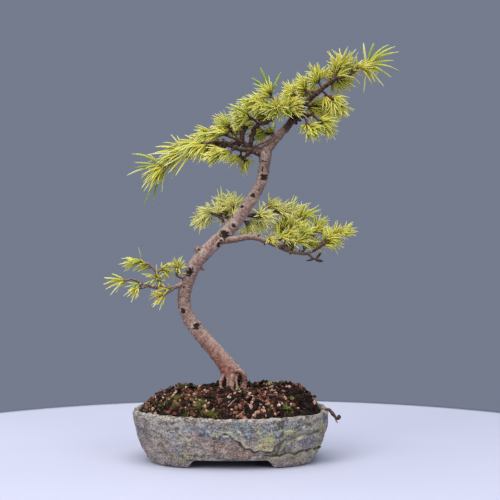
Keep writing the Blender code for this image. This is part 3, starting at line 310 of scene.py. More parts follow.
# Leafy twigs: their points, how much of each is bare, how long its needles are and, for those of its
# last bud, how long they are, how far they bend down and how strongly they lean along the twig
Twig = namedtuple("Twig", "name points bare reach tip_reach droop fan", defaults=(0.08, 0.55))
TWIGS = [
    Twig("low_left_tip", [(-112, -10, 177.5), (-118, -10, 179), (-124, -10, 177.5)], 5, 12, 22, 0.2, 1.1),
    Twig("low_left_under", [(-101, -9, 173), (-105, -14, 171), (-109, -18, 170)], 4, 11, 14, 0.2, 0.9),
    Twig("low_left_over", [(-93, -2, 185), (-98, 0, 191), (-103, 1, 194.5), (-110, 2, 195.5)],
         5, 11, 19, 0.2, 1.1),
    Twig("low_left_star", [(-89, -5, 175), (-91, -11, 178), (-92, -15, 180)], 4, 12, 14),
    Twig("low_left_rear", [(-93, -2, 185), (-90, 4, 188), (-87, 10, 189)], 4, 11, 14),
    Twig("low_left_drop", [(-75, -3, 171), (-79, -9, 167), (-84, -13, 164)], 5, 12, 16),
    Twig("low_left_collar", [(-66, 0, 179), (-73, -9, 183), (-71, -14, 190)], 9, 11, 12),

    Twig("back_left_far", [(-33, 22, 243), (-41, 25, 243), (-47, 26, 240)], 5, 13, 15, 0.2, 0.8),
    Twig("back_left_high", [(-28, 17, 240.5), (-31, 21, 248), (-29, 24, 254)], 5, 13, 17),
    Twig("back_left_near", [(-25, 11, 237.5), (-33, 10, 242), (-39, 9, 246)], 5, 13, 15),
    Twig("back_left_rear", [(-27, 16, 240), (-22, 25, 243), (-22, 33, 246)], 5, 13, 17),
    Twig("back_left_crest", [(-23, 7, 235.5), (-17, 14, 244), (-15, 18, 253)], 5, 12, 15),
    Twig("back_right_high", [(9, 17, 245.5), (14, 17, 249), (18, 16, 252)], 4, 13, 14),
    Twig("back_right_first", [(-8, 2.5, 241.5), (-5, 9, 236), (-2, 15, 231)], 5, 11, 12),
    Twig("back_right_low", [(2, 13, 244), (5, 20, 240), (8, 26, 236)], 5, 12, 15),
    Twig("back_right_near", [(-4, 8, 242.5), (5, 4, 241), (12, 2, 241)], 5, 12, 14),
    Twig("back_right_far", [(12, 18, 246), (23, 21, 246), (33, 22, 246), (42, 22, 245)], 9, 13, 17),

    Twig("mid_right_first", [(16, -15, 217), (17, -21, 217), (19, -26, 218)], 5, 9, 11),
    Twig("mid_right_front", [(25, -15, 213.5), (31, -19, 219), (37, -20, 223)], 5, 11, 13),
    Twig("mid_right_inner", [(29, -15, 211.5), (40, -8, 214), (49, -5, 217)], 5, 11, 12),
    Twig("mid_right_rear", [(36, 3, 222), (35, 11, 226), (32, 18, 230)], 4, 13, 15),
    Twig("mid_right_crest", [(36, 3, 222), (44, 5, 232), (53, 6, 240)], 4, 13, 17),
    Twig("mid_right_centre", [(40, -15, 206.5), (45, -17, 215), (51, -19, 223)], 5, 12, 13),
    Twig("mid_right_back", [(50, -14, 204.5), (57, -6, 212), (63, 1, 222), (67, 5, 231)], 5, 12, 14),
    Twig("mid_right_tip", [(67, -13, 209.5), (75, -12, 215), (83, -12, 220), (91, -12, 225)],
         5, 11, 16, 0.1, 1.0),
    Twig("mid_right_low", [(63, -13, 207), (70, -17, 213), (77, -20, 218)], 5, 10, 12),
    Twig("mid_right_far", [(66, -13, 209), (73, -4, 216), (80, 4, 222)], 5, 12, 14),

    Twig("left_far", [(-60, 4, 306), (-72, 3, 301), (-81, 2, 296), (-88, 1, 291)], 4, 18, 38, 0.22, 0.15),
    Twig("left_ridge", [(-45, 4, 310), (-53, 8, 313), (-60, 9, 312), (-67, 10, 309)], 5, 16, 28, 0.2, 0.9),
    Twig("left_front", [(-33, -18, 315), (-43, -18, 313), (-53, -18, 309)], 5, 16, 22, 0.15),
    Twig("left_top", [(-14, -9, 318), (-24, -6, 322), (-32, -4, 324), (-40, -3, 322)], 6, 14, 18, 0.15),
    Twig("left_crest", [(-12, -8.5, 317.5), (-16, -3, 325), (-21, 0, 332)], 6, 14, 17),
    Twig("left_rear", [(-26, 0, 312.5), (-33, 9, 316), (-40, 17, 318), (-48, 21, 317)], 6, 15, 20),
    Twig("left_low", [(-14, -14, 308.5), (-22, -21, 304), (-31, -25, 301)], 5, 13, 15, 0.15),
    Twig("left_under", [(-8, -12.5, 307.5), (-9, -4, 302), (-5, 2, 296)], 5, 11, 13),
    Twig("left_inner", [(-8, -8, 315), (-8, -1, 323), (-6, 6, 330)], 6, 13, 15),

    Twig("up_left", [(9, -11, 332.5), (2, -15, 338), (-5, -18, 341)], 5, 14, 17, 0.1),
    Twig("up_front", [(23, -11, 341), (25, -19, 344), (26, -26, 346)], 4, 12, 14),
    Twig("up_crest", [(21, -10, 348), (12, -12, 352), (4, -13, 353)], 4, 13, 16),
    Twig("up_rear", [(18, -11, 335), (18, -2, 343), (15, 7, 350), (11, 14, 353)], 5, 13, 16),
    Twig("up_tip", [(24.5, -9, 354), (22, -6, 359), (20, -3, 364)], 4, 13, 28, 0.08, 0.9),
    Twig("up_inner", [(24, -2, 318), (21, 6, 325), (13, 10, 328)], 8, 12, 14),

    Twig("right_tip", [(84, -13, 376.5), (97, -10, 381), (107, -8, 387), (116, -6, 391)],
         9.5, 15, 32, 0.1, 0.25),
    Twig("right_over", [(80, -13, 374), (86, -8, 384), (91, -5, 392)], 5, 14, 17),
    Twig("right_top", [(72, -13, 368), (69, -8, 374), (68, -5, 380)], 5, 13, 15),
    Twig("right_shoulder", [(62, -12, 360), (58, -3, 366), (55, 4, 371)], 5, 13, 15),
    Twig("right_rear", [(78, -13, 372.5), (84, -4, 377), (91, 5, 382)], 5, 14, 18),
    Twig("right_under", [(70, -12.5, 366.5), (79, -12, 359), (86, -12, 352)], 5, 12, 16),
    Twig("right_back_low", [(53, -10, 351), (60, 0, 352), (69, 8, 352), (80, 11, 350)], 6, 13, 17),
    Twig("right_low", [(62, -18, 341), (67, -19, 336), (71, -19, 331)], 4, 12, 15),
    Twig("right_low_front", [(54, -15.6, 340.6), (56, -20, 333), (58, -22, 326)], 5, 12, 13),
    Twig("right_mid_front", [(55, -10.5, 353), (48, -8, 360), (43, -7, 364)], 5, 12, 14),
    Twig("right_near", [(42, -7, 338), (36, -13, 345), (39, -17, 350)], 6, 13, 17),
    Twig("right_mid_rear", [(47, -9, 345), (42, 1, 350), (36, 9, 354)], 6, 12, 14),
]

# Each tier of the crown: how dark its twigs' bark is, how green its needles are, how many a tip bud
# and a side bud have, how far apart its buds are, how far the needles of its side buds lean along the
# twig and into the tier's own flow, how much painted light makes them paler, and how much longer those of the
# side buds are
Tier = namedtuple("Tier", "dark green tip_needles side_needles spacing swept flow pale longer",
                  defaults=(0.0, 1.1))
TIERS = {
    "low_left": Tier(0.55, 0.36, 15, 8, 4.8, 0.5, (-0.25, 0.0, 0.05)),
    "back": Tier(0.8, 0.30, 26, 16, 2.7, 0.35, (-0.1, 0.0, 0.10), 0.55, 1.15),
    "mid_right": Tier(0.75, 0.36, 24, 15, 3.3, 0.6, (0.25, 0.0, 0.0), 0.0, 1.15),
    "left": Tier(1.0, 0.36, 27, 18, 2.6, 1.3, (-0.8, 0.0, -0.2), 0.0, 1.25),
    "up": Tier(1.0, 0.40, 30, 21, 2.4, 0.7, (-0.8, 0.0, -0.1), 0.0, 1.25),
    "right": Tier(0.95, 0.28, 31, 21, 2.4, 0.7, (0.1, 0.0, 0.0), 0.0, 1.12),
}

# Long needles that stand out singly: the way from a twig's last bud to each one's tip
LONE_NEEDLES = {
    "up_tip": [(-10, -2, 26), (-19, 0, 16), (11, 2, 22), (-5, 5, 17)],
    "left_far": [(-36, -1, -9), (-31, 0, 13), (-19, 0, -39), (-9, 2, -35), (-27, -4, -1),
                 (-14, -6, -26), (-22, 5, -16), (-29, 6, 5), (-16, 9, -21), (-12, -3, 12)],
    "left_ridge": [(-29, 0, 3), (-13, 0, 16), (-36, 2, -6), (-7, 2, 15), (-25, -6, -8), (-22, 8, 8),
                   (-16, -4, -24), (-13, 3, -30)],
    "left_front": [(-28, 0, -26), (-33, 2, -19), (-21, -2, -29), (-34, -2, -8)],
    "right_tip": [(-4, 0, 30), (10, 0, 33), (33, 0, 14), (33, 0, -5), (18, 0, -21), (-3, 0, -27),
                  (23, 2, 22), (29, -4, 19), (28, 3, 6), (9, 5, 26), (24, -6, -2), (19, 7, 13),
                  (26, 5, -11), (8, -7, -18)],
    "back_right_far": [(-3, 0, 13), (5, -2, 18), (8, 2, 11), (19, 0, 11), (-10, 0, 6), (13, 3, 3)],
    "back_left_crest": [(-9, 0, 17), (-15, 2, 15), (1, 0, 15), (10, 0, 10), (-21, 0, 8), (-24, 2, 2)],
    "mid_right_tip": [(17, 0, 1), (16, 2, 5), (14, -4, -3), (11, 0, 9), (12, 4, 11)],
    "low_left_tip": [(-22, 0, -4), (-20, 2, -9), (-21, -3, 3), (-15, 0, -15), (-14, 5, 7)],
}
# How much greener the single needles are than their tier's, and how much thicker
GREENER_TIPS = {
    "up_tip": 0.85, "left_far": 0.3, "right_tip": 0.4, "back_left_crest": 0.3, "back_right_far": 0.3,
}
STOUTER_TIPS = {"up_tip": 1.35}
# Twigs whose needles lean a way of their own, and that way
LEANS = {
    "left_under": (-0.1, 0.0, 0.9), "left_low": (0.2, 0.0, 0.7), "right_low_front": (-0.1, 0.0, 0.9),
    "right_low": (0.0, 0.0, 0.6), "right_near": (0.9, 0.0, -0.5), "left_front": (0.3, 0.0, -0.1),
}
# Twigs whose side buds are few and long-needled: how many needles, how long and how far apart
LONG_SIDES = {"left_far": (9, 26.0, 5.5), "right_tip": (10, 17.0, 4.4), "left_ridge": (12, 20.0, 3.4)}

# Measures of twigs, spurs, buds and needles. A spur with its bud has the form of its radius at each
# share of its length. A short needle has fewer rings than a long one, at the shares of its length
# in the two rows of steps.
TWIG_RADIUS = 1.15
TWIG_TIP_RADIUS = 0.9
FIRST_BUD_BACK = 4.6
BUD_LEAN = 0.8
BUD_RADIUS = 1.15
SPUR_LENGTH = 3.4
SPUR_RADIUS = 0.85
BUD_FORM = (
    (0.0, SPUR_RADIUS), (0.35, SPUR_RADIUS * 0.9), (0.6, SPUR_RADIUS), (0.8, BUD_RADIUS), (1.0, 0.55),
)
TURN_STEP = 1.3
NEEDLE_RADIUS = 0.72
SHORT_NEEDLE = 24.0
SHORT_NEEDLE_STEPS = (0.02, 0.33, 0.66, 0.95)
LONG_NEEDLE_STEPS = (0.02, 0.2, 0.38, 0.56, 0.75, 0.95)
SIDE_DROOP = 0.14
SIDE_FAN = 0.35
REARMOST_FACING = -0.05
FLATTENED = 0.72

# Colours of the moss and the sprouts from foot to tip, each as position and colour
MOSS_COLOURS = (
    (0.0, (0.010, 0.012, 0.002)), (0.35, (0.045, 0.055, 0.006)), (0.7, (0.135, 0.145, 0.012)),
    (1.0, (0.34, 0.33, 0.045)),
)
SPROUT_COLOURS = ((0.0, (0.05, 0.12, 0.012)), (0.5, (0.16, 0.30, 0.04)), (1.0, (0.45, 0.58, 0.20)))

# Stage, in metres: the table top, the surroundings, the lights and the camera. A light has its
# name, its place, its size, its power in watts and its colour.
FLOOR_RADIUS = 0.47
FLOOR_ROWS = 24
FLOOR_COLUMNS = 192
SURROUNDINGS = (0.175, 0.200, 0.268, 1.0)
LIT_POINT = (0.0, 0.0, 0.2)
LIGHTS = [
    ("overhead", (-0.2, -0.2, 2.1), 3.0, 54.0, (1.0, 1.0, 1.0)),
    ("key", (-1.5, -1.7, 1.4), 1.5, 38.0, (1.0, 0.985, 0.96)),
    ("fill", (1.7, -1.8, 0.9), 2.0, 24.0, (0.95, 0.97, 1.0)),
]
CAMERA_PLACE = (0.0, -1.2, 0.208)
CAMERA_LENS = 86.4
CAMERA_SENSOR = 36.0


def unit(vectors):
    """Vectors divided by their own lengths."""
    return vectors / np.linalg.norm(vectors, axis=-1, keepdims=True)


def smoothstep(low, high, values):
    """0 below low, 1 above high, and 3t^2 - 2t^3 between them."""
    t = np.clip((values - low) / (high - low), 0.0, 1.0)
    return t * t * (3 - 2 * t)


def round_turns(count):
    """The angles of points spread evenly round a circle."""
    return np.arange(count) * math.tau / count


def joined(x, y, z):
    """Points from three arrays of coordinates, which are spread to one shape."""
    return np.stack(np.broadcast_arrays(x, y, z), axis=-1)


def longest_start(name, table):
    """The longest key of a table that a name starts with, or None."""
    return max((key for key in table if name.startswith(key)), key=len, default=None)


def ripple(points, wavelength, seed, waves=14):
    """An even random unrolling: the sum of plane waves in seeded directions, scaled to unit spread.

    Each wave is cos(2 pi k.p / wavelength + phase), and the k are unit directions whose lengths
    vary by a quarter either way.
    """
    random = np.random.default_rng(seed)
    directions = unit(random.normal(size=(waves, 3))) * random.uniform(0.75, 1.3, size=(waves, 1))
    phases = random.uniform(0, math.tau, size=waves)
    total = np.zeros(points.shape[:-1])
    for direction, phase in zip(directions, phases):
        total += np.cos(points @ (direction * math.tau / wavelength) + phase)
    return total * math.sqrt(2 / waves)


class Surfaces:
    """Closed surfaces gathered into one mesh, each a grid of rows and columns with a pole at each end."""

    def __init__(self):
        self.points = []
        self.quads = []
        self.triangles = []
        self.values = {}
        self.total = 0

    def add(self, grids, starts, ends, **values):
        """Adds grids of shape (count, rows, columns, 3) and their poles of shape (count, 3).

        A value is a number, or an array that spreads to the shape (count, rows, columns), with one
        more axis for a vector. A pole takes its row's mean.
        """
        count, rows, columns = grids.shape[:3]
        size = rows * columns + 2
        self.points.append(np.concatenate(
            [grids.reshape(count, rows * columns, 3), starts[:, None], ends[:, None]], axis=1).reshape(-1, 3))
        base = self.total + np.arange(count)[:, None, None] * size
        column = np.arange(columns)[None, None, :]
        after = (column + 1) % columns
        row = np.arange(rows - 1)[None, :, None] * columns
        self.quads.append(np.stack(
            [base + row + column, base + row + after, base + row + columns + after,
             base + row + columns + column], axis=-1).reshape(-1, 4))
        flat, here, there = base[:, :, 0], column[0], after[0]
        start = np.broadcast_to(flat + rows * columns, (count, columns))
        last = flat + (rows - 1) * columns
        self.triangles.append(np.stack([start, flat + there, flat + here], axis=-1).reshape(-1, 3))
        self.triangles.append(np.stack([start + 1, last + here, last + there], axis=-1).reshape(-1, 3))
        for name, numbers in values.items():
            numbers = np.asarray(numbers, dtype=float)
            numbers = np.broadcast_to(numbers, (count, rows, columns, *numbers.shape[3:]))
            flat_values = numbers.reshape(count, rows * columns, *numbers.shape[3:])
            poles = np.stack([numbers[:, 0].mean(axis=1), numbers[:, -1].mean(axis=1)], axis=1)
            packed = np.concatenate([flat_values, poles], axis=1)
            self.values.setdefault(name, []).append(packed.reshape(-1, *numbers.shape[3:]))
        self.total += count * size

    def write(self, name, smooth=True):
        """Makes the mesh object from the gathered arrays, in metres, shaded smooth or in flat facets."""
        mesh = bpy.data.meshes.new(name)
        points = np.concatenate(self.points) * MM
        mesh.vertices.add(len(points))
        mesh.vertices.foreach_set("co", points.astype(np.float32).ravel())
        quads, triangles = np.concatenate(self.quads), np.concatenate(self.triangles)
        corners = np.concatenate([quads.ravel(), triangles.ravel()]).astype(np.int32)
        mesh.loops.add(len(corners))
        mesh.loops.foreach_set("vertex_index", corners)
        sizes = np.concatenate([np.full(len(quads), 4), np.full(len(triangles), 3)])
        mesh.polygons.add(len(sizes))
        mesh.polygons.foreach_set("loop_start", (np.cumsum(sizes) - sizes).astype(np.int32))
        mesh.polygons.foreach_set("use_smooth", np.full(len(sizes), smooth))
        mesh.update(calc_edges=True)
        for label, chunks in self.values.items():
            numbers = np.concatenate(chunks).astype(np.float32)
            kind, field = ("FLOAT_VECTOR", "vector") if numbers.ndim == 2 else ("FLOAT", "value")
            mesh.attributes.new(label, kind, "POINT").data.foreach_set(field, numbers.ravel())
        piece = bpy.data.objects.new(name, mesh)
        bpy.context.scene.collection.objects.link(piece)
        return piece


def smooth_path(points, spacing):
    """Points a spacing apart on the Catmull-Rom curve through the given ones, radius included."""
    points = np.array(points, dtype=float)
    guide = np.vstack([2 * points[0] - points[1], points, 2 * points[-1] - points[-2]])
    lengths = np.linalg.norm(np.diff(points[:, :3], axis=0), axis=1)
    counts = np.maximum(1, np.rint(lengths / spacing)).astype(int)
    segment = np.repeat(np.arange(len(counts)), counts)
    t = ((np.arange(counts.sum()) - (np.cumsum(counts) - counts)[segment]) / counts[segment])[:, None]
    first, start, end, last = (guide[segment + step] for step in range(4))
    curve = 0.5 * (2 * start + (end - first) * t + (2 * first - 5 * start + 4 * end - last) * t ** 2
                   + (3 * start - first - 3 * end + last) * t ** 3)
    return np.vstack([curve, points[-1]])


def path_frame(centres):
    """Length reached, direction, and two directions across a path at each of its points.

    Across is the direction crossed with the axis that the path follows least, so it never flips.
    """
    steps = np.linalg.norm(np.diff(centres, axis=0), axis=1)
    reached = np.concatenate([[0.0], np.cumsum(steps)])
    along = unit(np.gradient(centres, axis=0))
    least = np.eye(3)[np.argmin(np.abs(along).max(axis=0))]
    across = unit(np.cross(along, least))
    return reached, along, across, np.cross(along, across)


def carried_ring(path, sides):
    """A circle carried along a path: centre + radius (cos a across + sin a upward) over length and a.

    Returns the points, the outward directions and the cylinder coordinates (r cos a, r sin a,
    length), which give a pattern that follows the wood without a seam.
    """
    reached, _, across, upward = path_frame(path[:, :3])
    turns = round_turns(sides)
    outward = np.cos(turns)[:, None] * across[:, None] + np.sin(turns)[:, None] * upward[:, None]
    radius = path[:, 3][:, None]
    grain = joined(radius * np.cos(turns), radius * np.sin(turns), reached[:, None])
    return path[:, None, :3] + outward * radius[..., None], outward, grain


def thin_tubes(random, roots, direction, bend, length, t, width, sides, flatness=1.0):
    """Rings and tips of thin tubes along the lines root + L (d t + b t^2).

    A ring is width (cos a across + flatness sin a other), square to d and turned at random.
    """
    way = direction[:, None] * t[:, None] + bend[:, None] * t[:, None] ** 2
    line = roots[:, None] + way * length[:, None, None]
    across = unit(np.cross(direction, random.normal(size=(len(roots), 3))))
    other = np.cross(direction, across)
    turns = round_turns(sides)[:, None]
    ring = np.cos(turns) * across[:, None] + flatness * np.sin(turns) * other[:, None]
    rings = line[:, :, None] + ring[:, None] * width[..., None, None]
    return rings, roots + (direction + bend) * length[:, None]


# Wood

def bark_relief(grain, size, seed):
    """Lumps, cross plates and fine grain of bark, in millimetres, over the cylinder coordinates."""
    plates = ripple(grain * BARK_PLATE_STRETCH, 2.2, seed)
    lumps = ripple(grain, 9.0, seed + 1)
    crumbs = ripple(grain, 1.7, seed + 2)
    return size * (0.17 * lumps + 0.13 * np.maximum(plates, -0.6) + 0.07 * crumbs)


def scar_marks(points, outward, path):
    """Relief, dark heart and painted highlight on the rim of the scars: each is a ragged ellipse q = 1 on the
    bark.

    The rim stands h exp(-((q - 1.05) / 0.32)^2) high, the heart sinks by d exp(-(q / 0.75)^4), and
    the painted highlight is strongest at q = 1.25, just outside the rim.
    """
    relief, heart, pale = np.zeros((3, *points.shape[:-1]))
    ragged = 0.18 * ripple(points, 3.0, 77)
    _, along, _, _ = path_frame(path[:, :3])
    for x, z, side, width, height, depth, rim in SCARS:
        nearest = np.argmin((path[:, 0] - x) ** 2 + (path[:, 2] - z) ** 2)
        centre, radius = path[nearest, :3], path[nearest, 3]
        aside = np.array([x - centre[0], 0.0, z - centre[2]])
        forward = math.sqrt(max(radius ** 2 - aside @ aside, (0.25 * radius) ** 2))
        place = centre + aside + np.array([0.0, side * forward, 0.0])
        away = points - place
        upward = away @ along[nearest]
        sideways = np.linalg.norm(away - upward[..., None] * along[nearest], axis=-1)
        q = np.hypot(upward / (height / 2), sideways / (width / 2)) + ragged
        facing = (outward @ unit(place - centre)) > 0
        relief += facing * (rim * np.exp(-((q - 1.05) / 0.32) ** 2) - depth * np.exp(-(q / 0.75) ** 4))
        heart = np.maximum(heart, facing * smoothstep(1.02, 0.72, q))
        pale = np.maximum(pale, facing * np.exp(-((q - 1.25) / 0.25) ** 2) * min(rim, 1.0))
    return relief, heart, pale


def knob_relief(points):
    """Rounded knobs on the trunk's front: each is h exp(-(d / r)^2) round its place. Also its painted
    highlight.
    """
    relief, pale = np.zeros((2, *points.shape[:-1]))
    for x, z, radius, height in KNOBS:
        away = np.hypot(points[..., 0] - x, points[..., 2] - z)
        swelling = np.exp(-(away / radius) ** 2) * (points[..., 1] < 0)
        relief += height * swelling
        pale = np.maximum(pale, swelling * min(height, 1.0))
    return relief, pale


def root_hollows(points):
    """Depth and painted shade of the hollows between the roots: each is exp(-q^4) of an ellipse on the front.
    """
    depth, shade = np.zeros((2, *points.shape[:-1]))
    ragged = 0.15 * ripple(points, 3.0, 78)
    for x, z, wide, high, deep in HOLLOWS:
        q = np.hypot((points[..., 0] - x) / wide, (points[..., 2] - z) / high) + ragged
        inside = np.exp(-np.maximum(q, 0.0) ** 4) * (points[..., 1] < -1)
        depth = np.maximum(depth, deep * inside)
        shade = np.maximum(shade, inside)
    return depth, shade


def add_wood(heap, points, sides, spacing, dark, seed, scars=False, flare=0.0, size=1.0, redden=0.0):
    """A limb: a ring carried along its path, with bark relief and a flare of its own at its foot.

    radius = r (1 + flare exp(-length / 1.6 r)) + relief. The darkness is a function of the points,
    or a pair for the two ends, and the redness is a function or a number.
    """
    path = smooth_path(points, spacing)
    away = np.linalg.norm(path[:, :3] - path[0, :3], axis=1)
    path[:, 3] *= 1 + flare * np.exp(-away / (1.6 * path[0, 3]))
    rings, outward, grain = carried_ring(path, sides)
    heart = 0.0
    relief = bark_relief(grain, size, seed)
    # How far the bark faces up, which the finish turns into painted light on top and painted shade beneath.
    upper = outward[..., 2]
    if scars:
        marks, heart, rims = scar_marks(rings, outward, path)
        depth, shade = root_hollows(rings)
        swelling, pale = knob_relief(rings)
        relief = relief + marks + swelling - depth
        # The hollows' painted shade is darkened with the scars' hearts.
        heart = np.maximum(heart, shade)
        # Knobs and scar rims count as facing up, which gives them painted highlights.
        upper = np.maximum(upper, np.maximum(pale, rims))
    rings = rings + outward * relief[..., None]
    share = np.linspace(0, 1, len(path))[:, None]
    darkness = dark(rings) if callable(dark) else dark[0] + (dark[1] - dark[0]) * share
    redness = redden(rings) if callable(redden) else redden
    end = path[-1:, :3] + unit(path[-1:, :3] - path[-2:-1, :3]) * path[-1, 3] * 0.5
    heap.add(rings[None], path[:1, :3], end, dark=darkness, scar=heart, grain=grain[None], upper=upper,
             red=redness)
    return path


def trunk_darkness(points):
    """0 on the pink lower trunk, rising to the dark bark of the top, which starts about z = 330."""
    return 0.78 * smoothstep(320, 341, points[..., 2]) + 0.22 * smoothstep(235, 295, points[..., 2])


def trunk_redness(points):
    """1 at the foot of the trunk, where the bark is red, falling to 0 at about z = 150."""
    return 1 - smoothstep(84, 150, points[..., 2])


def old_spurs(heap, path, spacing, dark, seed, first):
    """Short knobby spurs left by old shoots: small tubes turned round a limb by the golden angle.

    They are longer and thicker on the darkest limbs.
    """
    random = np.random.default_rng(seed)
    reached, along, across, upward = path_frame(path[:, :3])
    longer, thicker = (1.3, 1.6) if dark == 1.0 else (1.0, 1.0)
    for index, length in enumerate(np.arange(first, reached[-1] - 2, spacing)):
        turn = index * GOLDEN_ANGLE + seed
        here = min(np.searchsorted(reached, length), len(path) - 1)
        side = across[here] * math.cos(turn) + upward[here] * math.sin(turn)
        lean = unit(side + random.uniform(0.1, 0.6) * along[here])
        reach = path[here, 3] + random.uniform(0.9, 2.6) * longer
        thick = random.uniform(0.75, 1.05) * thicker
        spur = [(*(path[here, :3] + lean * reach * share), thick * swell) for share, swell in OLD_SPUR_FORM]
        add_wood(heap, spur, 8, 0.8, (dark, min(dark + 0.1, 1.0)), seed + index, size=0.45)


def make_trunk():
    """The trunk with its scars, the roots that swell its foot, and the root crown in the soil."""
    heap = Surfaces()
    add_wood(heap, TRUNK, 76, 0.8, trunk_darkness, 21, scars=True, redden=trunk_redness)
    for index, root in enumerate(ROOTS):
        add_wood(heap, root, 36, 0.6, ROOT_DARKNESS, 40 + index, scars=True, redden=1.0, size=2.1)
    for index, root in enumerate(FINE_ROOTS):
        add_wood(heap, root, 18, 0.6, ROOT_DARKNESS, 46 + index, scars=index > 1, redden=0.8, size=1.6)
    turns = round_turns(96)
    radius, height = np.array(CROWN_PROFILE, dtype=float).T[..., None]
    crown = joined(CROWN_X + radius * np.cos(turns), radius * np.sin(turns), height)
    unevenness = 0.35 * ripple(crown, 6.0, 61) + 0.2 * ripple(crown, 2.5, 62)
    crown[..., 2] += unevenness * smoothstep(58, 68, height)
    bottom, top = ([(CROWN_X, 0, CROWN_PROFILE[end][1])] for end in (0, -1))
    heap.add(crown[None], np.array(bottom), np.array(top), dark=1.0, scar=0.3, red=0.0, upper=0.0,
             grain=crown[None])
    return heap.write("trunk_bark")


def make_limbs():
    """The limbs, with old spurs along some of them, and the stubs of cut branches."""
    heap = Surfaces()
    for index, (name, limb) in enumerate(LIMBS.items()):
        path = add_wood(heap, limb.points, 24, 0.6, (limb.dark_start, limb.dark_end), 100 + index,
                        flare=0.55, size=0.75, redden=RED_LIMBS.get(name, 0.0))
        spurs = longest_start(name, OLD_SPURS)
        if spurs:
            spacing, dark, first = OLD_SPURS[spurs]
            old_spurs(heap, path, spacing, dark, 130 + index, first)
    for index, stub in enumerate(STUBS):
        dark = (0.0, 0.35) if index < PINK_STUBS else (0.9, 1.0)
        add_wood(heap, stub, 20, 0.5, dark, 160 + index, flare=0.5 * (index > 0), scars=index == 0)
    return heap.write("limb_bark")


# Sprays

def twig_path(twig):
    """The twig's smooth path, with a radius that falls along it."""
    radii = np.linspace(TWIG_RADIUS, TWIG_TIP_RADIUS, len(twig.points))
    return smooth_path([(*point, radius) for point, radius in zip(twig.points, radii)], 0.8)


def bud_places(twig, path, spacing, first_turn):
    """Foot, centre and axis of each bud: one ends the twig, the others sit on spurs turned round it."""
    reached, along, _, _ = path_frame(path[:, :3])
    places = [(path[-1, :3] - along[-1], path[-1, :3], along[-1])]
    backs = np.arange(FIRST_BUD_BACK, reached[-1] - twig.bare, spacing)
    for index, back in enumerate(backs):
        here = np.searchsorted(reached, reached[-1] - back)
        turn = first_turn + index * GOLDEN_ANGLE / 2
        across = unit(np.cross(along[here], (0.0, 0.0, 1.0)))
        side = across * math.cos(turn) + np.cross(across, along[here]) * math.sin(turn)
        lean = unit(side + BUD_LEAN * along[here])
        length = SPUR_LENGTH * (1.0 if index % 2 == 0 else 0.7)
        places.append((path[here, :3], path[here, :3] + lean * length, lean))
    return places


def keep_inside(roots, tips):
    """How much shorter each needle has to be for its tip to stay in the solid model's box."""
    low, high = (np.array(corner) / MM for corner in solid_box)
    low, high = low + 0.5, high - 0.5
    way = tips - roots
    room = np.where(way > 0, high - roots, roots - low)
    return np.clip((room / np.maximum(np.abs(way), 1e-6)).min(axis=1), 0.0, 1.0)


def grow_needles(heap, random, roots, direction, length, radius, bend, hue, palest=1.0):
    """Needles along the lines root + L (d t + b t^2), each cut short at the solid model's box.

    The radius of each is r (0.75 + 0.3 sin(pi t)) (1 - 0.7 t^5), over four sides.
    """
    count = len(roots)
    length = length * keep_inside(roots, roots + (direction + bend) * length[:, None])
    t = np.array(SHORT_NEEDLE_STEPS if length.mean() < SHORT_NEEDLE else LONG_NEEDLE_STEPS)
    thickness = radius[:, None] * (0.75 + 0.3 * np.sin(math.pi * t)) * (1 - 0.7 * t ** 5)
    grids, tips = thin_tubes(random, roots, direction, bend, length, t, thickness, 4, 0.85)
    # The pale share is the tier's painted light.
    green, pale = hue
    tint = random.uniform(0, palest, size=(count, 1, 1))
    greenness = np.clip(green + random.normal(0, 0.12) + random.normal(0, 0.16, size=(count, 1, 1)), 0, 1)
    heap.add(grids, roots, tips, tint=tint, pale=pale, along=t[:, None], green=greenness)


def add_lone_needles(heap, random, centre, ways, hue, stout):
    """Long single needles from a bud to given tips, each bowed up first and then down to its tip."""
    ways = np.array(ways, dtype=float)
    length = np.linalg.norm(ways, axis=1)
    count = len(ways)
    bow = np.array([0.0, 0.0, -1.0]) * random.uniform(0.12, 0.36, size=(count, 1))
    bow = bow + random.normal(0, 0.09, size=(count, 3))
    direction = ways / length[:, None] - bow
    radius = NEEDLE_RADIUS * stout * np.clip(1.1 + 0.02 * length, 1.4, 1.85)
    grow_needles(heap, random, np.repeat(centre[None], count, axis=0), direction, length, radius, bow, hue,
                 palest=0.35)


def add_needles(heap, random, bud, count, lengths, form, hue):
    """A rosette: directions on a golden spiral over a cap round the axis, leaned into the flow.

    The cap is flattened from above, and each direction and length wanders a little. The needle's
    line is root + L (d t + droop s t^2 + c t^2), where d is its direction, s the part of straight
    down that is square to d, and c a small sideways curl.
    """
    centre, axis, flow = bud
    droop, fan, rearmost = form
    order = np.arange(count) + 0.5
    facing = 1 - order / count * (1 - rearmost)
    turn = order * GOLDEN_ANGLE + random.uniform(0, math.tau)
    across = unit(np.cross(axis, (0.3, 0.2, 0.9) if abs(axis[2]) < 0.9 else (1.0, 0.0, 0.0)))
    upward = np.cross(axis, across)
    slant = np.sqrt(1 - facing ** 2)
    direction = (facing[:, None] * axis + (slant * np.cos(turn))[:, None] * across
                 + (slant * np.sin(turn))[:, None] * upward)
    direction = direction * np.array([1.0, 1.0, FLATTENED]) + fan * axis + flow
    direction = unit(direction + random.normal(0, 0.22, size=(count, 3)))
    length = lengths * (0.85 + 0.15 * facing) * random.uniform(0.65, 1.3, size=count)
    roots = centre + direction * BUD_RADIUS * 0.6
    down = np.array([0.0, 0.0, -1.0])
    sag = down - (direction @ down)[:, None] * direction
    curl = np.cross(direction, unit(random.normal(size=(count, 3))))
    curl = curl * random.normal(0, 0.19, size=(count, 1))
    bend = sag * (droop + random.uniform(-0.04, 0.26, size=(count, 1))) + curl
    radius = NEEDLE_RADIUS * np.clip(0.76 + 0.024 * lengths, 1.0, 1.6)
    radius = radius * random.uniform(0.88, 1.12, size=count)
    grow_needles(heap, random, roots, direction, length, radius, bend, hue)


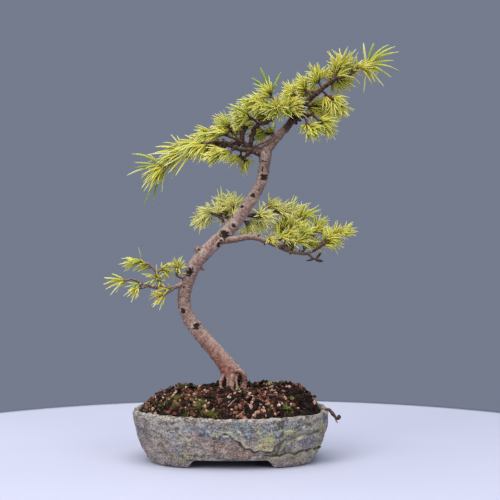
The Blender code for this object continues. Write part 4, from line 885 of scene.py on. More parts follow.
def add_bud(heap, foot, centre, axis, dark, seed):
    """A spur that ends in a bud: a ring carried along it, waisted, then swollen and closed."""
    tip = centre + axis * BUD_RADIUS
    spur = [(*(foot + (tip - foot) * share), radius) for share, radius in BUD_FORM]
    add_wood(heap, spur, 8, 0.9, (dark, max(dark - 0.15, 0.0)), seed, size=0.35, redden=0.35)


def grow_spray(random, twig, order, habit, wood):
    """The needles of one spray. Its twig, spurs and buds go into the wood of its tier."""
    path = twig_path(twig)
    seed = 300 + order * 20
    darkness = (habit.dark, max(habit.dark - 0.2, 0.0))
    add_wood(wood, path, 10, 0.8, darkness, seed, size=0.5, flare=0.3)
    heap = Surfaces()
    flow = habit.swept * unit(path[-1, :3] - path[0, :3]) + np.array(habit.flow)
    flow = flow + np.array(LEANS.get(twig.name, (0.0, 0.0, 0.0)))
    end_flow = flow * (1.0 if twig.name in LEANS else 0.25)
    lone = LONE_NEEDLES.get(twig.name)
    usual = (habit.side_needles, twig.reach * habit.longer, habit.spacing)
    side_needles, side_reach, spacing = LONG_SIDES.get(twig.name, usual)
    side_form = (SIDE_DROOP, SIDE_FAN, REARMOST_FACING)
    hue = (habit.green, habit.pale)
    for index, (foot, centre, axis) in enumerate(bud_places(twig, path, spacing, order * TURN_STEP)):
        if index:
            add_needles(heap, random, (centre, axis, flow), side_needles, side_reach, side_form, hue)
        else:
            few, reach = (side_needles, twig.reach) if lone else (habit.tip_needles, twig.tip_reach)
            add_needles(heap, random, (centre, axis, end_flow), few, reach, (twig.droop, twig.fan, 0.0), hue)
            if lone:
                greener = (habit.green + GREENER_TIPS.get(twig.name, 0.0), habit.pale)
                add_lone_needles(heap, random, centre, lone, greener, STOUTER_TIPS.get(twig.name, 1.0))
        add_bud(wood, foot, centre, axis, habit.dark, seed + index + 1)
    return heap


def make_sprays():
    """Each spray's needles as one piece, and the twigs, spurs and buds of each tier as another."""
    random = np.random.default_rng(5)
    twigs = {tier: Surfaces() for tier in TIERS}
    carried = {tier: [] for tier in TIERS}
    pieces = []
    for order, twig in enumerate(TWIGS):
        tier = longest_start(twig.name, TIERS)
        piece = grow_spray(random, twig, order, TIERS[tier], twigs[tier]).write("needles_" + twig.name)
        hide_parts("spray_" + twig.name)
        pieces.append(piece)
        carried[tier].append("spray_" + twig.name)
    wood = []
    for tier, heap in twigs.items():
        piece = heap.write("twigs_" + tier)
        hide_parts(*carried[tier])
        wood.append(piece)
    return pieces, wood


# Pot

def outward_swell(turn, height):
    """How far the handmade form swells past a round one: (|cos|^n + |sin|^n)^(-1/n) and a slight wave."""
    square = np.abs(np.cos(turn)) ** POT_SQUARENESS + np.abs(np.sin(turn)) ** POT_SQUARENESS
    unevenness = 0.006 * np.maximum(height, 0.0) / POT_HEIGHT * np.sin(3 * turn + 1.0)
    return square ** (-1 / POT_SQUARENESS) * (1 + unevenness)


def by_hand(radius, turn, height):
    """The oval, handmade form of a turned point: squared off, flattened, waved and leaned."""
    swell = radius * outward_swell(turn, height)
    wave = 0.9 * np.sin(2 * turn + 0.5) + 0.6 * np.sin(5 * turn)
    lift = (np.maximum(height, 0.0) / POT_HEIGHT) ** 2 * wave
    lean = POT_FOOT_SHIFT * (1 - height / POT_HEIGHT)
    x = POT_CENTRE_X + lean + swell * np.cos(turn)
    return joined(x, swell * np.sin(turn) * POT_DEPTH_RATIO, height + lift)


def along_line(x, z, line):
    """Distance of wall points to a line of x and z corners, and which side they lie on, left being 1."""
    line = np.array(line, dtype=float)
    best = np.full(x.shape, 1e9)
    side = np.zeros(x.shape)
    for (x0, z0), (x1, z1) in zip(line, line[1:]):
        dx, dz = x1 - x0, z1 - z0
        t = np.clip(((x - x0) * dx + (z - z0) * dz) / (dx * dx + dz * dz), 0, 1)
        away = np.hypot(x - x0 - t * dx, z - z0 - t * dz)
        nearer = away < best
        best = np.where(nearer, away, best)
        side = np.where(nearer, np.sign(dx * (z - z0) - dz * (x - x0)), side)
    return best, side


def fold_marks(points):
    """Relief, crack with painted shadow, and painted highlight on the edge of the clay's folds on the front
    and back walls.

    On the upper sheet's side the relief is h exp(-d / 6), and on the other -0.45 h exp(-(d / 1.6)^2).
    """
    relief, crack, edge = np.zeros((3, *points.shape[:-1]))
    y = points[..., 1]
    x = points[..., 0] + 0.7 * ripple(points, 11.0, 81)
    z = points[..., 2] + 0.7 * ripple(points, 9.0, 82)
    waver = np.clip(1 + 0.35 * ripple(points, 16.0, 85), 0.35, 1.7)
    for folds, facing in ((FRONT_FOLDS, y < -WALL_START), (BACK_FOLDS, y > WALL_START)):
        for line, lift, darkness in folds:
            away, side = along_line(x, z, line)
            upper = side * np.sign(lift) > 0
            height = abs(lift)
            relief += facing * np.where(upper, height * np.exp(-away / 6.0),
                                        -0.45 * height * np.exp(-(away / 1.6) ** 2))
            # The dark foot is a crack with painted shadow under the lapping sheet.
            foot = np.exp(-(away / (np.where(upper, 0.6, 1.15) * waver)) ** 2) * darkness
            crack = np.maximum(crack, facing * foot)
            # Painted highlight along the upper sheet's edge, where the lap catches the light.
            edge = np.maximum(edge, facing * upper * np.exp(-((away - 1.5) / 0.9) ** 2) * min(height, 1.0))
    return relief, crack, edge


def glaze_patch(points, patches, seed, spread):
    """Strength of one glaze colour: soft ellipses on the front, and a slow ripple elsewhere."""
    x = points[..., 0] + 5.0 * ripple(points, 26.0, seed)
    z = points[..., 2] + 2.6 * ripple(points, 15.0, seed + 1)
    front = smoothstep(-20, -50, points[..., 1])
    strength = np.zeros(points.shape[:-1])
    for px, pz, wide, high, full in patches:
        strength = np.maximum(strength, full * np.exp(-((x - px) / wide) ** 2 - ((z - pz) / high) ** 2))
    elsewhere = smoothstep(spread, spread + 1.1, ripple(points * np.array([1, 1, 2.2]), 48.0, seed + 2))
    return front * strength + (1 - front) * elsewhere * 0.85


def glaze_veins(points):
    """Pale veins of glaze on the front wall: each is exp(-(d / 0.55)^2) round a waved line."""
    x = points[..., 0] + 1.1 * ripple(points, 8.0, 83)
    z = points[..., 2] + 0.9 * ripple(points, 7.0, 84)
    nearest = np.min([along_line(x, z, line)[0] for line in VEINS], axis=0)
    return np.exp(-(nearest / 0.55) ** 2) * (points[..., 1] < -WALL_START)


def turned(pairs, spacing):
    """A smooth outline through pairs of radius and height."""
    return smooth_path([(radius, 0, height) for radius, height in pairs], spacing)


def level(start, stop, step, height):
    """A flat part of the outline: radii from start to stop, at one height."""
    return np.array([(radius, 0.0, height) for radius in np.arange(start, stop, step)])


def pot_profile():
    """Radius and height of each point of the turned outline, from the underside's middle to the floor's."""
    under = level(4.0, 58.0, 6.0, POT_UNDERSIDE)
    foot = turned(POT_FOOT_INSIDE, 1.2)
    flat = level(67.0, 79.0, 3.0, 0.0)
    outside = turned(POT_OUTSIDE + POT_LIP + POT_INSIDE[:2], 0.75)
    inside = turned(POT_INSIDE[1:], 2.5)[1:]
    floor = level(64.0, 3.0, -6.0, POT_FLOOR)
    profile = np.vstack([under, foot, flat, outside, inside, floor])
    return profile[:, 0], np.maximum(profile[:, 2], 0.0)


def arched_height(points, radius):
    """Height of the pot's points once low arches on its four sides have left four feet between them.

    Under an arch of height a, which is flat and slopes down at both ends, the lowest band is
    squeezed: z becomes a + z (1 - a / band).
    """
    middle = POT_CENTRE_X + POT_FOOT_SHIFT
    across = smoothstep(FRONT_ARCH_WIDTH / 2, FRONT_ARCH_WIDTH / 2 - ARCH_SLOPE,
                        np.abs(points[..., 0] - middle))
    lengthwise = smoothstep(SIDE_ARCH_WIDTH / 2, SIDE_ARCH_WIDTH / 2 - ARCH_SLOPE, np.abs(points[..., 1]))
    arch = ARCH_HEIGHT * np.maximum(across, lengthwise) * (radius > ARCH_INNER_RADIUS)
    low = np.clip(points[..., 2], 0, FOOT_BAND)
    squeezed = arch + low * (1 - arch / FOOT_BAND)
    return np.where(points[..., 2] < FOOT_BAND, squeezed, points[..., 2])


def make_pot():
    """The pot: its outline turned on an oval, with folds, pinched unevenness, feet and drain holes.

    The relief is pushed out along the oval's normal, on the wall only.
    """
    radius, height = pot_profile()
    radius, height, turn = np.broadcast_arrays(radius[:, None], height[:, None], round_turns(POT_TURNS))
    points = by_hand(radius, turn, height)
    wall = smoothstep(78, 84, radius) * (1 - smoothstep(47.5, 50.5, height) * 0.4)
    wall = wall * smoothstep(0.0, 3.0, height)
    oval = joined(np.cos(turn) * POT_DEPTH_RATIO, np.sin(turn), 0.0)
    relief, crack, edge = fold_marks(points)
    pinched = 0.65 * ripple(points, 42.0, 71) + 0.3 * ripple(points, 15.0, 72)
    grained = 0.16 * ripple(points, 4.5, 73) + 0.09 * ripple(points, 2.2, 74)
    pitted = -0.5 * smoothstep(1.7, 2.6, ripple(points, 5.0, 75))
    lip = smoothstep(44.5, 47.0, points[..., 2]) * smoothstep(86, 88, radius)
    lip_roll = 0.35 * lip - (0.35 * np.exp(-((points[..., 2] - 43.5) / 1.2) ** 2)
                             * smoothstep(90, 93, radius))
    outward = (relief + pinched + lip_roll) * wall + (grained + pitted) * POT_GRAIN * wall
    points = points + unit(oval) * outward[..., None]
    top = smoothstep(46, 49, height) * smoothstep(86, 89, radius)
    points[..., 2] += top * (0.35 * ripple(points, 9.0, 76) + 0.15 * ripple(points, 3.5, 77))
    points[..., 2] = arched_height(points, radius)
    heap = Surfaces()
    glazes = {name: glaze_patch(points, *glaze) * wall for name, glaze in GLAZES.items()}
    heap.add(points[None], np.array([(POT_CENTRE_X, 0, POT_UNDERSIDE)]),
             # The fold marks are dark cracks with painted shadow at the folds' feet, and a painted highlight
             # on their edges.
             np.array([(POT_CENTRE_X, 0, POT_FLOOR)]), lip=np.maximum(lip, top), crack=crack * wall,
             edge=edge * wall, veins=glaze_veins(points) * wall, **glazes,
             # The last value is painted shade under the pot and inside its feet.
             under=smoothstep(80.5, 77.0, radius) * smoothstep(16.0, 10.0, height))
    pot = heap.write("pot_clay")
    for side in (-1, 1):
        bore(pot, POT_CENTRE_X + side * DRAIN_OFFSET, DRAIN_RADIUS)
    return pot


def bore(target, x, radius):
    """Cuts a round drain hole through the floor with a Boolean modifier that is then applied."""
    path = np.array([(x, 0.0, z, radius) for z in (0.0, 6.0, 12.0, 20.0)])
    heap = Surfaces()
    heap.add(carried_ring(path, 40)[0][None], path[:1, :3], path[-1:, :3])
    cutter = heap.write("drain_bore")
    cut = target.modifiers.new("drain", "BOOLEAN")
    cut.operation = "DIFFERENCE"
    cut.object = cutter
    bpy.context.view_layer.update()
    mesh = bpy.data.meshes.new_from_object(target.evaluated_get(bpy.context.evaluated_depsgraph_get()))
    target.modifiers.clear()
    target.data = mesh
    bpy.data.objects.remove(cutter, do_unlink=True)


# Soil and what lies on it

def mound(share, turn):
    """Height of the soil's mound over the share of its radius: edge + rise (1 - share^n).

    The power n is 4.5, and rises to 8.5 on the right, where the mound stays full up to the rim.
    """
    fullness = SOIL_FULLNESS + SOIL_FULLER_RIGHT * smoothstep(0.0, 0.8, np.cos(turn))
    return SOIL_EDGE + (SOIL_TOP - SOIL_EDGE) * (1 - share ** fullness)


def soil_surface(x, y):
    """Height of the mound above a point of the table, waved as the pot's rim is."""
    turn = np.arctan2(y / POT_DEPTH_RATIO, x - POT_CENTRE_X)
    radius = np.hypot(x - POT_CENTRE_X, y / POT_DEPTH_RATIO) / outward_swell(turn, SOIL_TOP)
    share = np.minimum(radius / SOIL_RADIUS, 1.0)
    return by_hand(radius, turn, mound(share, turn))[..., 2]


def on_soil(x, y, above):
    """The point at a height above the mound."""
    return np.array([x, y, soil_surface(np.array([float(x)]), np.array([float(y)]))[0] + above])


def soil_grain(points):
    """Small unevenness of the soil's top, the same for the bed and for what lies on it."""
    flat = points * np.array([1.0, 1.0, 0.0])
    return 0.75 * ripple(flat, 13.0, 91) + 0.5 * ripple(flat, 5.5, 92) + 0.3 * ripple(flat, 2.6, 93)


def soil_top(x, y):
    """Points on the uneven top of the soil."""
    return joined(x, y, soil_surface(x, y) + soil_grain(joined(x, y, 0.0)))


def make_soil():
    """The bed: the mound's outline turned on the oval, with grain on its top, closed underneath."""
    turn = round_turns(SOIL_TURNS)
    share = np.linspace(1, 0.012, SOIL_ROWS)[:, None]
    side = np.array(SOIL_SIDE)
    level = np.ones_like(turn)
    radius = np.vstack([side[:, :1] * level, share * SOIL_RADIUS * level])
    height = np.vstack([side[:, 1:] * level, mound(share, turn)])
    points = by_hand(radius, np.broadcast_to(turn, radius.shape), height)
    points[..., 2] += smoothstep(SOIL_EDGE - 2, SOIL_EDGE + 1, height) * soil_grain(points)
    heap = Surfaces()
    heap.add(points[None], np.array([(POT_CENTRE_X, 0, SOIL_FLOOR)]), points[-1:].mean(axis=1))
    return heap.write("soil_bed")


def scattered(random, count):
    """Places spread evenly over the mound: share of the radius is the root of a uniform draw."""
    share = np.sqrt(random.uniform(0.0, 0.975 ** 2, size=count))
    turn = random.uniform(0, math.tau, size=count)
    place = by_hand(share * SOIL_RADIUS, turn, np.full(count, SOIL_TOP))
    return soil_top(place[:, 0], place[:, 1])


def clear_of_trunk(places, gap):
    """True where a place is further than gap from the trunk's foot."""
    return np.hypot(places[:, 0] - CROWN_X, places[:, 1]) > gap


def in_lichen(places):
    """True where a place lies in the dark, leafy patch at the soil's right."""
    return np.hypot(places[:, 0] - LICHEN_CENTRE[0], places[:, 1] - LICHEN_CENTRE[1]) < LICHEN_RADIUS


def moss_cover(places):
    """How mossy each place is: the strongest of the patches, each falling off as exp(-(d / r)^4)."""
    cover = np.zeros(len(places))
    for x, y, radius, _ in MOSS_PATCHES:
        away = np.hypot(places[:, 0] - x, places[:, 1] - y)
        cover = np.maximum(cover, np.exp(-(away / radius) ** 4))
    return cover


def turned_axes(random, count):
    """One random frame of three square directions for each of many small things."""
    first = unit(random.normal(size=(count, 3)))
    second = unit(np.cross(first, random.normal(size=(count, 3))))
    return np.stack([first, second, np.cross(first, second)], axis=1)


def add_stones(heap, random, places, sizes, tints, rows, columns, roughness, squash=(0.55, 0.8)):
    """Broken grains: balls whose radius is 1 + roughness times a ripple, squashed and turned."""
    count = len(places)
    polar = ((np.arange(rows) + 1) * math.pi / (rows + 1))[:, None]
    turn = round_turns(columns)
    ball = joined(np.sin(polar) * np.cos(turn), np.sin(polar) * np.sin(turn), -np.cos(polar))
    offsets = random.uniform(0, 900, size=(count, 1, 3))
    whole = np.concatenate([ball.reshape(-1, 3), [(0, 0, -1.0), (0, 0, 1.0)]])[None]
    spread = 1 + roughness * np.clip(ripple(whole + offsets, 2.6, 95, waves=9), -1.6, 1.6)
    stretch = joined(1.0, random.uniform(0.65, 1.0, count), random.uniform(*squash, count))
    local = whole * spread[..., None] * stretch[:, None] * (sizes / 2)[:, None, None]
    world = places[:, None] + local @ turned_axes(random, count)
    grids = world[:, :-2].reshape(count, rows, columns, 3)
    heap.add(grids, world[:, -2], world[:, -1], tint=tints[:, None, None])


def grain_tints(random, places, light_share):
    """A tint from 0 (dark soil) to 1 (pale clay): light grains are commoner at the front and the rim."""
    count = len(places)
    front = (places[:, 1] < -34) & (places[:, 0] > -62) & (places[:, 0] < 50)
    share = np.where(front, light_share * 1.35, light_share)
    share = np.where(in_lichen(places) | ~clear_of_trunk(places, 27.0), light_share * 0.35, share)
    light = random.uniform(size=count) < share
    pale = 0.36 + 0.64 * random.uniform(0, 1, count) ** 2.2
    return np.where(light, pale, random.uniform(0.0, 0.34, count))


def add_granules(heap, random):
    """Granules of fired clay, fewer where moss grows."""
    places = scattered(random, GRANULES)
    unmossed = random.uniform(size=len(places)) > moss_cover(places) * 0.6
    places = places[clear_of_trunk(places, 11.0) & unmossed]
    sizes = random.uniform(2.6, 5.2, len(places)) * random.uniform(0.85, 1.1, len(places))
    places[:, 2] += sizes * random.uniform(0.0, 0.26, len(places))
    add_stones(heap, random, places, sizes, grain_tints(random, places, 0.62), 4, 7, 0.27)


def add_clods(heap, random):
    """Dark clods over the mound, and more of them heaped round the trunk's foot, highest on the left."""
    clods = scattered(random, CLODS)
    clods = clods[clear_of_trunk(clods, 9.5)]
    add_stones(heap, random, clods, random.uniform(4.0, 7.0, len(clods)),
               random.uniform(0.0, 0.15, len(clods)), 5, 8, 0.24)
    turn = random.uniform(0, math.tau, HEAPED_CLODS)
    reach = random.uniform(9.5, HEAP_REACH, HEAPED_CLODS)
    heaped = by_hand(reach, turn, np.full(HEAPED_CLODS, SOIL_TOP))
    heaped[:, 2] = soil_surface(heaped[:, 0], heaped[:, 1])
    leftward = 0.35 - 0.28 * np.cos(turn)
    heaped[:, 2] += (HEAP_REACH - reach) * leftward * random.uniform(0.5, 1.0, HEAPED_CLODS)
    add_stones(heap, random, heaped, random.uniform(3.0, 6.0, HEAPED_CLODS),
               random.uniform(0.0, 0.3, HEAPED_CLODS), 5, 8, 0.26)


def add_grit(heap, random):
    """Fine grit between the granules."""
    places = scattered(random, GRIT)
    places = places[clear_of_trunk(places, 10.0)]
    sizes = random.uniform(0.9, 2.1, len(places))
    places[:, 2] += sizes * 0.2
    add_stones(heap, random, places, sizes, grain_tints(random, places, 0.45), 3, 6, 0.12)


def add_flakes(heap, random):
    """Flat flakes of bark and leaf, thickest in the dark patch at the right."""
    places = scattered(random, FLAKES)
    kept = in_lichen(places) | (random.uniform(size=FLAKES) < 0.55)
    places = places[clear_of_trunk(places, 10.0) & kept]
    count = len(places)
    places[:, 2] += random.uniform(0.5, 2.6, count)
    sizes = random.uniform(3.0, 7.0, count)
    tints = np.where(random.uniform(size=count) < 0.2, 0.8, 0.33) * random.uniform(0, 1, count)
    add_stones(heap, random, places, sizes, tints, 3, 7, 0.3, squash=(0.10, 0.22))


def make_granules():
    """The granules with the clods as one piece, and the grit with the flakes as another."""
    random = np.random.default_rng(31)
    granules, grit = Surfaces(), Surfaces()
    add_granules(granules, random)
    add_clods(granules, random)
    add_grit(grit, random)
    add_flakes(grit, random)
    return granules.write("clay_granules", smooth=False), grit.write("soil_grit", smooth=False)


def add_blades(heap, random, roots, directions, lengths, radius, tints, sides=3, bend=0.25):
    """Small curved blades: a few-sided ring carried along root + L (d t + bend c t^2)."""
    t = np.array([0.0, 0.4, 0.75])
    curl = np.cross(directions, unit(random.normal(size=(len(roots), 3)))) * bend
    width = np.asarray(radius)[:, None] * np.array([0.8, 1.0, 0.7])
    grids, tips = thin_tubes(random, roots, directions, curl, lengths, t, width, sides)
    heap.add(grids, roots, tips, along=t[:, None], tint=tints[:, None, None])


def make_moss():
    """Cushions of moss: short blades that stand out of low domes, thickest in the patches' middles."""
    random = np.random.default_rng(41)
    weights = np.array([radius ** 2 * full for _, _, radius, full in MOSS_PATCHES])
    chosen = random.choice(len(MOSS_PATCHES), size=MOSS_BLADES, p=weights / weights.sum())
    centre_x, centre_y, radius, full = np.array(MOSS_PATCHES)[chosen].T
    share = random.uniform(0, 1, MOSS_BLADES) ** 0.6
    turn = random.uniform(0, math.tau, MOSS_BLADES)
    ragged = 1 + 0.25 * np.sin(3 * turn + chosen) + 0.15 * np.sin(7 * turn + 2 * chosen)
    x = centre_x + radius * share * ragged * np.cos(turn)
    y = centre_y + radius * share * ragged * np.sin(turn) * 0.85
    dome = (1 - share ** 2) * radius * 0.22 * full
    roots = soil_top(x, y)
    roots[:, 2] = roots[:, 2] + dome - 0.4
    outward = joined(np.cos(turn) * share, np.sin(turn) * share, 1.1)
    directions = unit(outward + random.normal(0, 0.35, size=(MOSS_BLADES, 3)))
    heap = Surfaces()
    add_blades(heap, random, roots, directions, random.uniform(1.0, 2.3, MOSS_BLADES),
               random.uniform(0.2, 0.34, MOSS_BLADES), random.uniform(0, 1, MOSS_BLADES))
    return heap.write("moss")


def make_weeds():
    """Tiny green sprouts, a few blades each, and one long fallen needle by the trunk's foot."""
    random = np.random.default_rng(51)
    heap = Surfaces()
    for x, y, count, length in TUFTS:
        roots = on_soil(x, y, 0.8) + random.normal(0, 0.7, size=(count, 3)) * np.array([1, 1, 0.2])
        lean = unit(np.array([0, 0, 1.0]) + random.normal(0, 0.45, size=(count, 3)))
        add_blades(heap, random, roots, lean, random.uniform(0.6, 1.1, count) * length,
                   np.full(count, 0.38), random.uniform(0.3, 1.0, count), sides=4, bend=0.4)
    fallen = np.array([(-14.0, -19.0, 74.5)]), unit(np.array([(0.60, -0.62, -0.5)]))
    add_blades(heap, random, *fallen, np.array([16.0]), np.array([0.5]), np.array([0.8]), sides=5,
               bend=0.05)
    return heap.write("sprouts")


def add_straws(heap, random):
    """Dry straws, each a thin tube bent a little at its middle."""
    for start, end, radius in STRAWS:
        start, end = on_soil(*start), on_soil(*end)
        middle = (start + end) / 2 + random.normal(0, 0.7, size=3)
        straw = [(*start, radius), (*middle, radius * 1.1), (*end, radius * 0.7)]
        add_wood(heap, straw, 6, 1.2, (0.0, 0.2), 700 + int(start[0]), size=0.12)


def add_chips(heap, random):
    """Slim chips of bark that lie nearly level on the soil."""
    chips = scattered(random, CHIPS)
    chips = chips[clear_of_trunk(chips, 12)]
    level = random.normal(size=(len(chips), 2))
    lying = unit(np.concatenate([level, random.normal(0, 0.22, (len(chips), 1))], axis=1))
    for index, (place, way) in enumerate(zip(chips + np.array([0, 0, 1.0]), lying)):
        half = way * random.uniform(2.5, 7.0) / 2
        chip = [(*(place - half), 0.32), (*place, 0.4), (*(place + half), 0.25)]
        add_wood(heap, chip, 5, 1.6, (random.uniform(0, 1), random.uniform(0, 1)), 720 + index, size=0.1)


def make_litter():
    """Dry straws and bark chips on the soil, and the dried leaf with its stalk that hangs over the rim."""
    random = np.random.default_rng(52)
    heap = Surfaces()
    add_straws(heap, random)
    add_chips(heap, random)
    add_wood(heap, DRY_LEAF, 14, 0.4, (0.75, 0.95), 790, size=0.9, redden=0.8)
    add_wood(heap, DRY_STALK, 8, 0.8, (0.3, 0.1), 791, size=0.3)
    return heap.write("litter")


# Finishes

class Finish:
    """A material's node tree, built by short calls that each return an output socket."""

    def __init__(self, name, roughness, specular=0.5):
        self.material = bpy.data.materials.new(name)
        self.material.use_nodes = True
        self.tree = self.material.node_tree
        self.shader = self.tree.nodes["Principled BSDF"]
        self.give(Roughness=roughness)
        self.shader.inputs["Specular IOR Level"].default_value = specular

    def put(self, value, socket):
        """Links a socket to an input, or sets the input to a number, a vector or a colour."""
        if isinstance(value, bpy.types.NodeSocket):
            self.tree.links.new(value, socket)
        else:
            socket.default_value = (*value, 1.0) if socket.type == "RGBA" else value

    def give(self, **inputs):
        """Puts values on the shader's inputs of those names."""
        for name, value in inputs.items():
            self.put(value, self.shader.inputs[name])

    def node(self, kind, inputs, output, **settings):
        """Adds a node with its settings and inputs, and returns one of its outputs."""
        made = self.tree.nodes.new(kind)
        for name, value in settings.items():
            setattr(made, name, value)
        for slot, value in inputs.items():
            self.put(value, made.inputs[slot])
        return made.outputs[output]

    def place(self):
        """The point in the piece's own metres."""
        return self.node("ShaderNodeTexCoord", {}, "Object")

    def value(self, name, output="Fac"):
        """What the mesh holds under a name at each point."""
        return self.node("ShaderNodeAttribute", {}, output, attribute_name=name)

    def scaled(self, vector, scale):
        return self.node("ShaderNodeMapping", {"Vector": vector, "Scale": scale}, "Vector")

    def noise(self, vector, scale, detail=4.0, roughness=0.6):
        inputs = {"Vector": vector, "Scale": scale, "Detail": detail, "Roughness": roughness}
        return self.node("ShaderNodeTexNoise", inputs, "Fac")

    def ramp(self, value, *stops):
        """A colour or grey that runs through the stops of position and colour."""
        made = self.node("ShaderNodeValToRGB", {"Fac": value}, "Color")
        line = made.node.color_ramp.elements
        while len(line) < len(stops):
            line.new(0.5)
        for element, (position, colour) in zip(line, stops):
            element.position = position
            element.color = (*colour, 1.0) if isinstance(colour, tuple) else (colour, colour, colour, 1.0)
        return made

    def coats(self, body, *coats):
        """A body colour under coats put on in order. Each has a colour, and a share that lets it cover."""
        for share, colour in coats:
            body = self.node("ShaderNodeMix", {0: share, 6: body, 7: colour}, 2, data_type="RGBA")
        return body

    def plus(self, first, second):
        return self.node("ShaderNodeMath", {0: first, 1: second}, 0, operation="ADD")

    def times(self, first, second):
        return self.node("ShaderNodeMath", {0: first, 1: second}, 0, operation="MULTIPLY")

    def rough(self, value, low, high):
        """Makes the roughness run from low to high with a value."""
        span = {"Value": value, "To Min": low, "To Max": high}
        self.give(Roughness=self.node("ShaderNodeMapRange", span, "Result"))

    def bump(self, height, strength, distance):
        inputs = {"Height": height, "Strength": strength, "Distance": distance}
        self.give(Normal=self.node("ShaderNodeBump", inputs, "Normal"))

    def coloured(self, colour):
        """Puts the colour on the shader, and returns the finished material."""
        self.put(colour, self.shader.inputs["Base Color"])
        return self.material


def bark_finish():
    """Pink-grey plated bark, redder at the foot and brown-black on the twigs, with near-black scars.

    Painted light makes it paler where it faces up, on its knobs and on its scar rims, and painted shade
    darkens its underside and the hollows between the roots.
    """
    make = Finish("bark", 0.8, 0.2)
    grain, upper = make.value("grain", "Vector"), make.value("upper")
    plates = make.noise(make.scaled(grain, (0.30, 0.30, 1.1)), 0.85)
    blotches = make.noise(grain, 0.16)
    patches = make.noise(grain, 0.42, 3.0)
    crumbs = make.noise(grain, 2.4, 3.0)
    pink = make.ramp(plates, (0.30, (0.075, 0.038, 0.030)), (0.42, (0.20, 0.112, 0.090)),
                     (0.56, (0.31, 0.192, 0.158)), (0.70, (0.52, 0.37, 0.31)))
    red = make.ramp(plates, (0.30, (0.060, 0.018, 0.011)), (0.42, (0.185, 0.066, 0.044)),
                    (0.56, (0.33, 0.122, 0.080)), (0.70, (0.53, 0.27, 0.195)))
    dark = make.ramp(plates, (0.32, (0.010, 0.005, 0.004)), (0.50, (0.046, 0.021, 0.014)),
                     (0.66, (0.115, 0.058, 0.038)), (0.80, (0.27, 0.17, 0.12)))
    scar_and_shade_colour = make.ramp(crumbs, (0.40, (0.010, 0.006, 0.004)), (0.62, (0.050, 0.028, 0.020)))
    redness = make.times(make.value("red"), make.ramp(blotches, (0.30, 0.7), (0.6, 1.0)))
    # Painted light: lit and sunlit make the bark paler where it faces up; the coat after them is painted
    # shade on its underside.
    lit = make.times(make.ramp(upper, (0.05, 0.0), (0.80, 0.75)),
                     make.ramp(patches, (0.38, 0.3), (0.55, 1.0)))
    painted_shade_beneath = make.ramp(make.times(upper, -1.0), (0.05, 0.0), (0.70, 0.65))
    sunlit = make.times(make.ramp(upper, (0.42, 0.0), (0.90, 1.0)),
                        make.ramp(patches, (0.42, 0.0), (0.56, 0.72)))
    colour = make.coats(pink, (redness, red),
                        (make.ramp(blotches, (0.45, 0.0), (0.70, 0.4)), (0.42, 0.32, 0.27)),
                        (make.ramp(patches, (0.36, 0.65), (0.46, 0.0)), (0.13, 0.072, 0.055)),
                        (lit, (0.60, 0.465, 0.41)), (painted_shade_beneath, (0.145, 0.078, 0.055)),
                        (make.value("dark"), dark), (sunlit, (0.38, 0.28, 0.21)),
                        (make.ramp(crumbs, (0.30, 0.45), (0.42, 0.0)), (0.07, 0.038, 0.03)),
                        # Near-black scar hearts, with the painted shade of the root hollows and of the line
                        # under the knob.
                        (make.value("scar"), scar_and_shade_colour))
    make.rough(plates, 0.85, 0.62)
    make.bump(make.plus(plates, make.times(crumbs, 0.35)), 0.55, 0.0006)
    return make.coloured(colour)


def needle_finish():
    """Lime needles: olive at the foot, yellow-green along, pale at the tip, each a little different.

    The dark olive at the foot is painted shade in the middle of each rosette, and a tier's pale share is
    painted light. The greenest are a deep green, and a few are dry and brown or bleached.
    """
    make = Finish("needles", 0.5, 0.25)
    along, tint, green = make.value("along"), make.value("tint"), make.value("green")
    # The dark olive at each needle's foot is painted shade in the middle of its rosette.
    yellow = make.ramp(along, (0.0, (0.26, 0.19, 0.022)), (0.28, (0.69, 0.57, 0.072)),
                       (0.70, (0.83, 0.72, 0.135)), (1.0, (0.87, 0.80, 0.34)))
    leaf = make.ramp(along, (0.0, (0.09, 0.13, 0.014)), (0.28, (0.29, 0.39, 0.042)),
                     (0.70, (0.46, 0.57, 0.095)), (1.0, (0.66, 0.72, 0.27)))
    wander = make.noise(make.place(), 45.0, 2.0, 0.5)
    colour = make.coats(yellow, (green, leaf),
                        (make.ramp(wander, (0.40, 0.35), (0.60, 0.0)), (0.34, 0.38, 0.04)),
                        (make.ramp(green, (0.92, 0.0), (1.0, 0.85)), (0.24, 0.31, 0.055)),
                        # Painted light: a tier's pale share brightens needles that the lamps leave darker.
                        (make.value("pale"), (0.95, 0.92, 0.40)),
                        (make.ramp(tint, (0.991, 0.0), (0.996, 0.8)), (0.36, 0.17, 0.05)),
                        (make.ramp(tint, (0.0, 0.6), (0.05, 0.0)), (0.80, 0.80, 0.52)))
    make.shader.inputs["Subsurface Weight"].default_value = 0.4
    make.shader.inputs["Subsurface Radius"].default_value = (0.0012, 0.0016, 0.0004)
    make.bump(make.noise(make.place(), 900.0, 2.0, 0.5), 0.08, 0.0001)
    return make.coloured(colour)


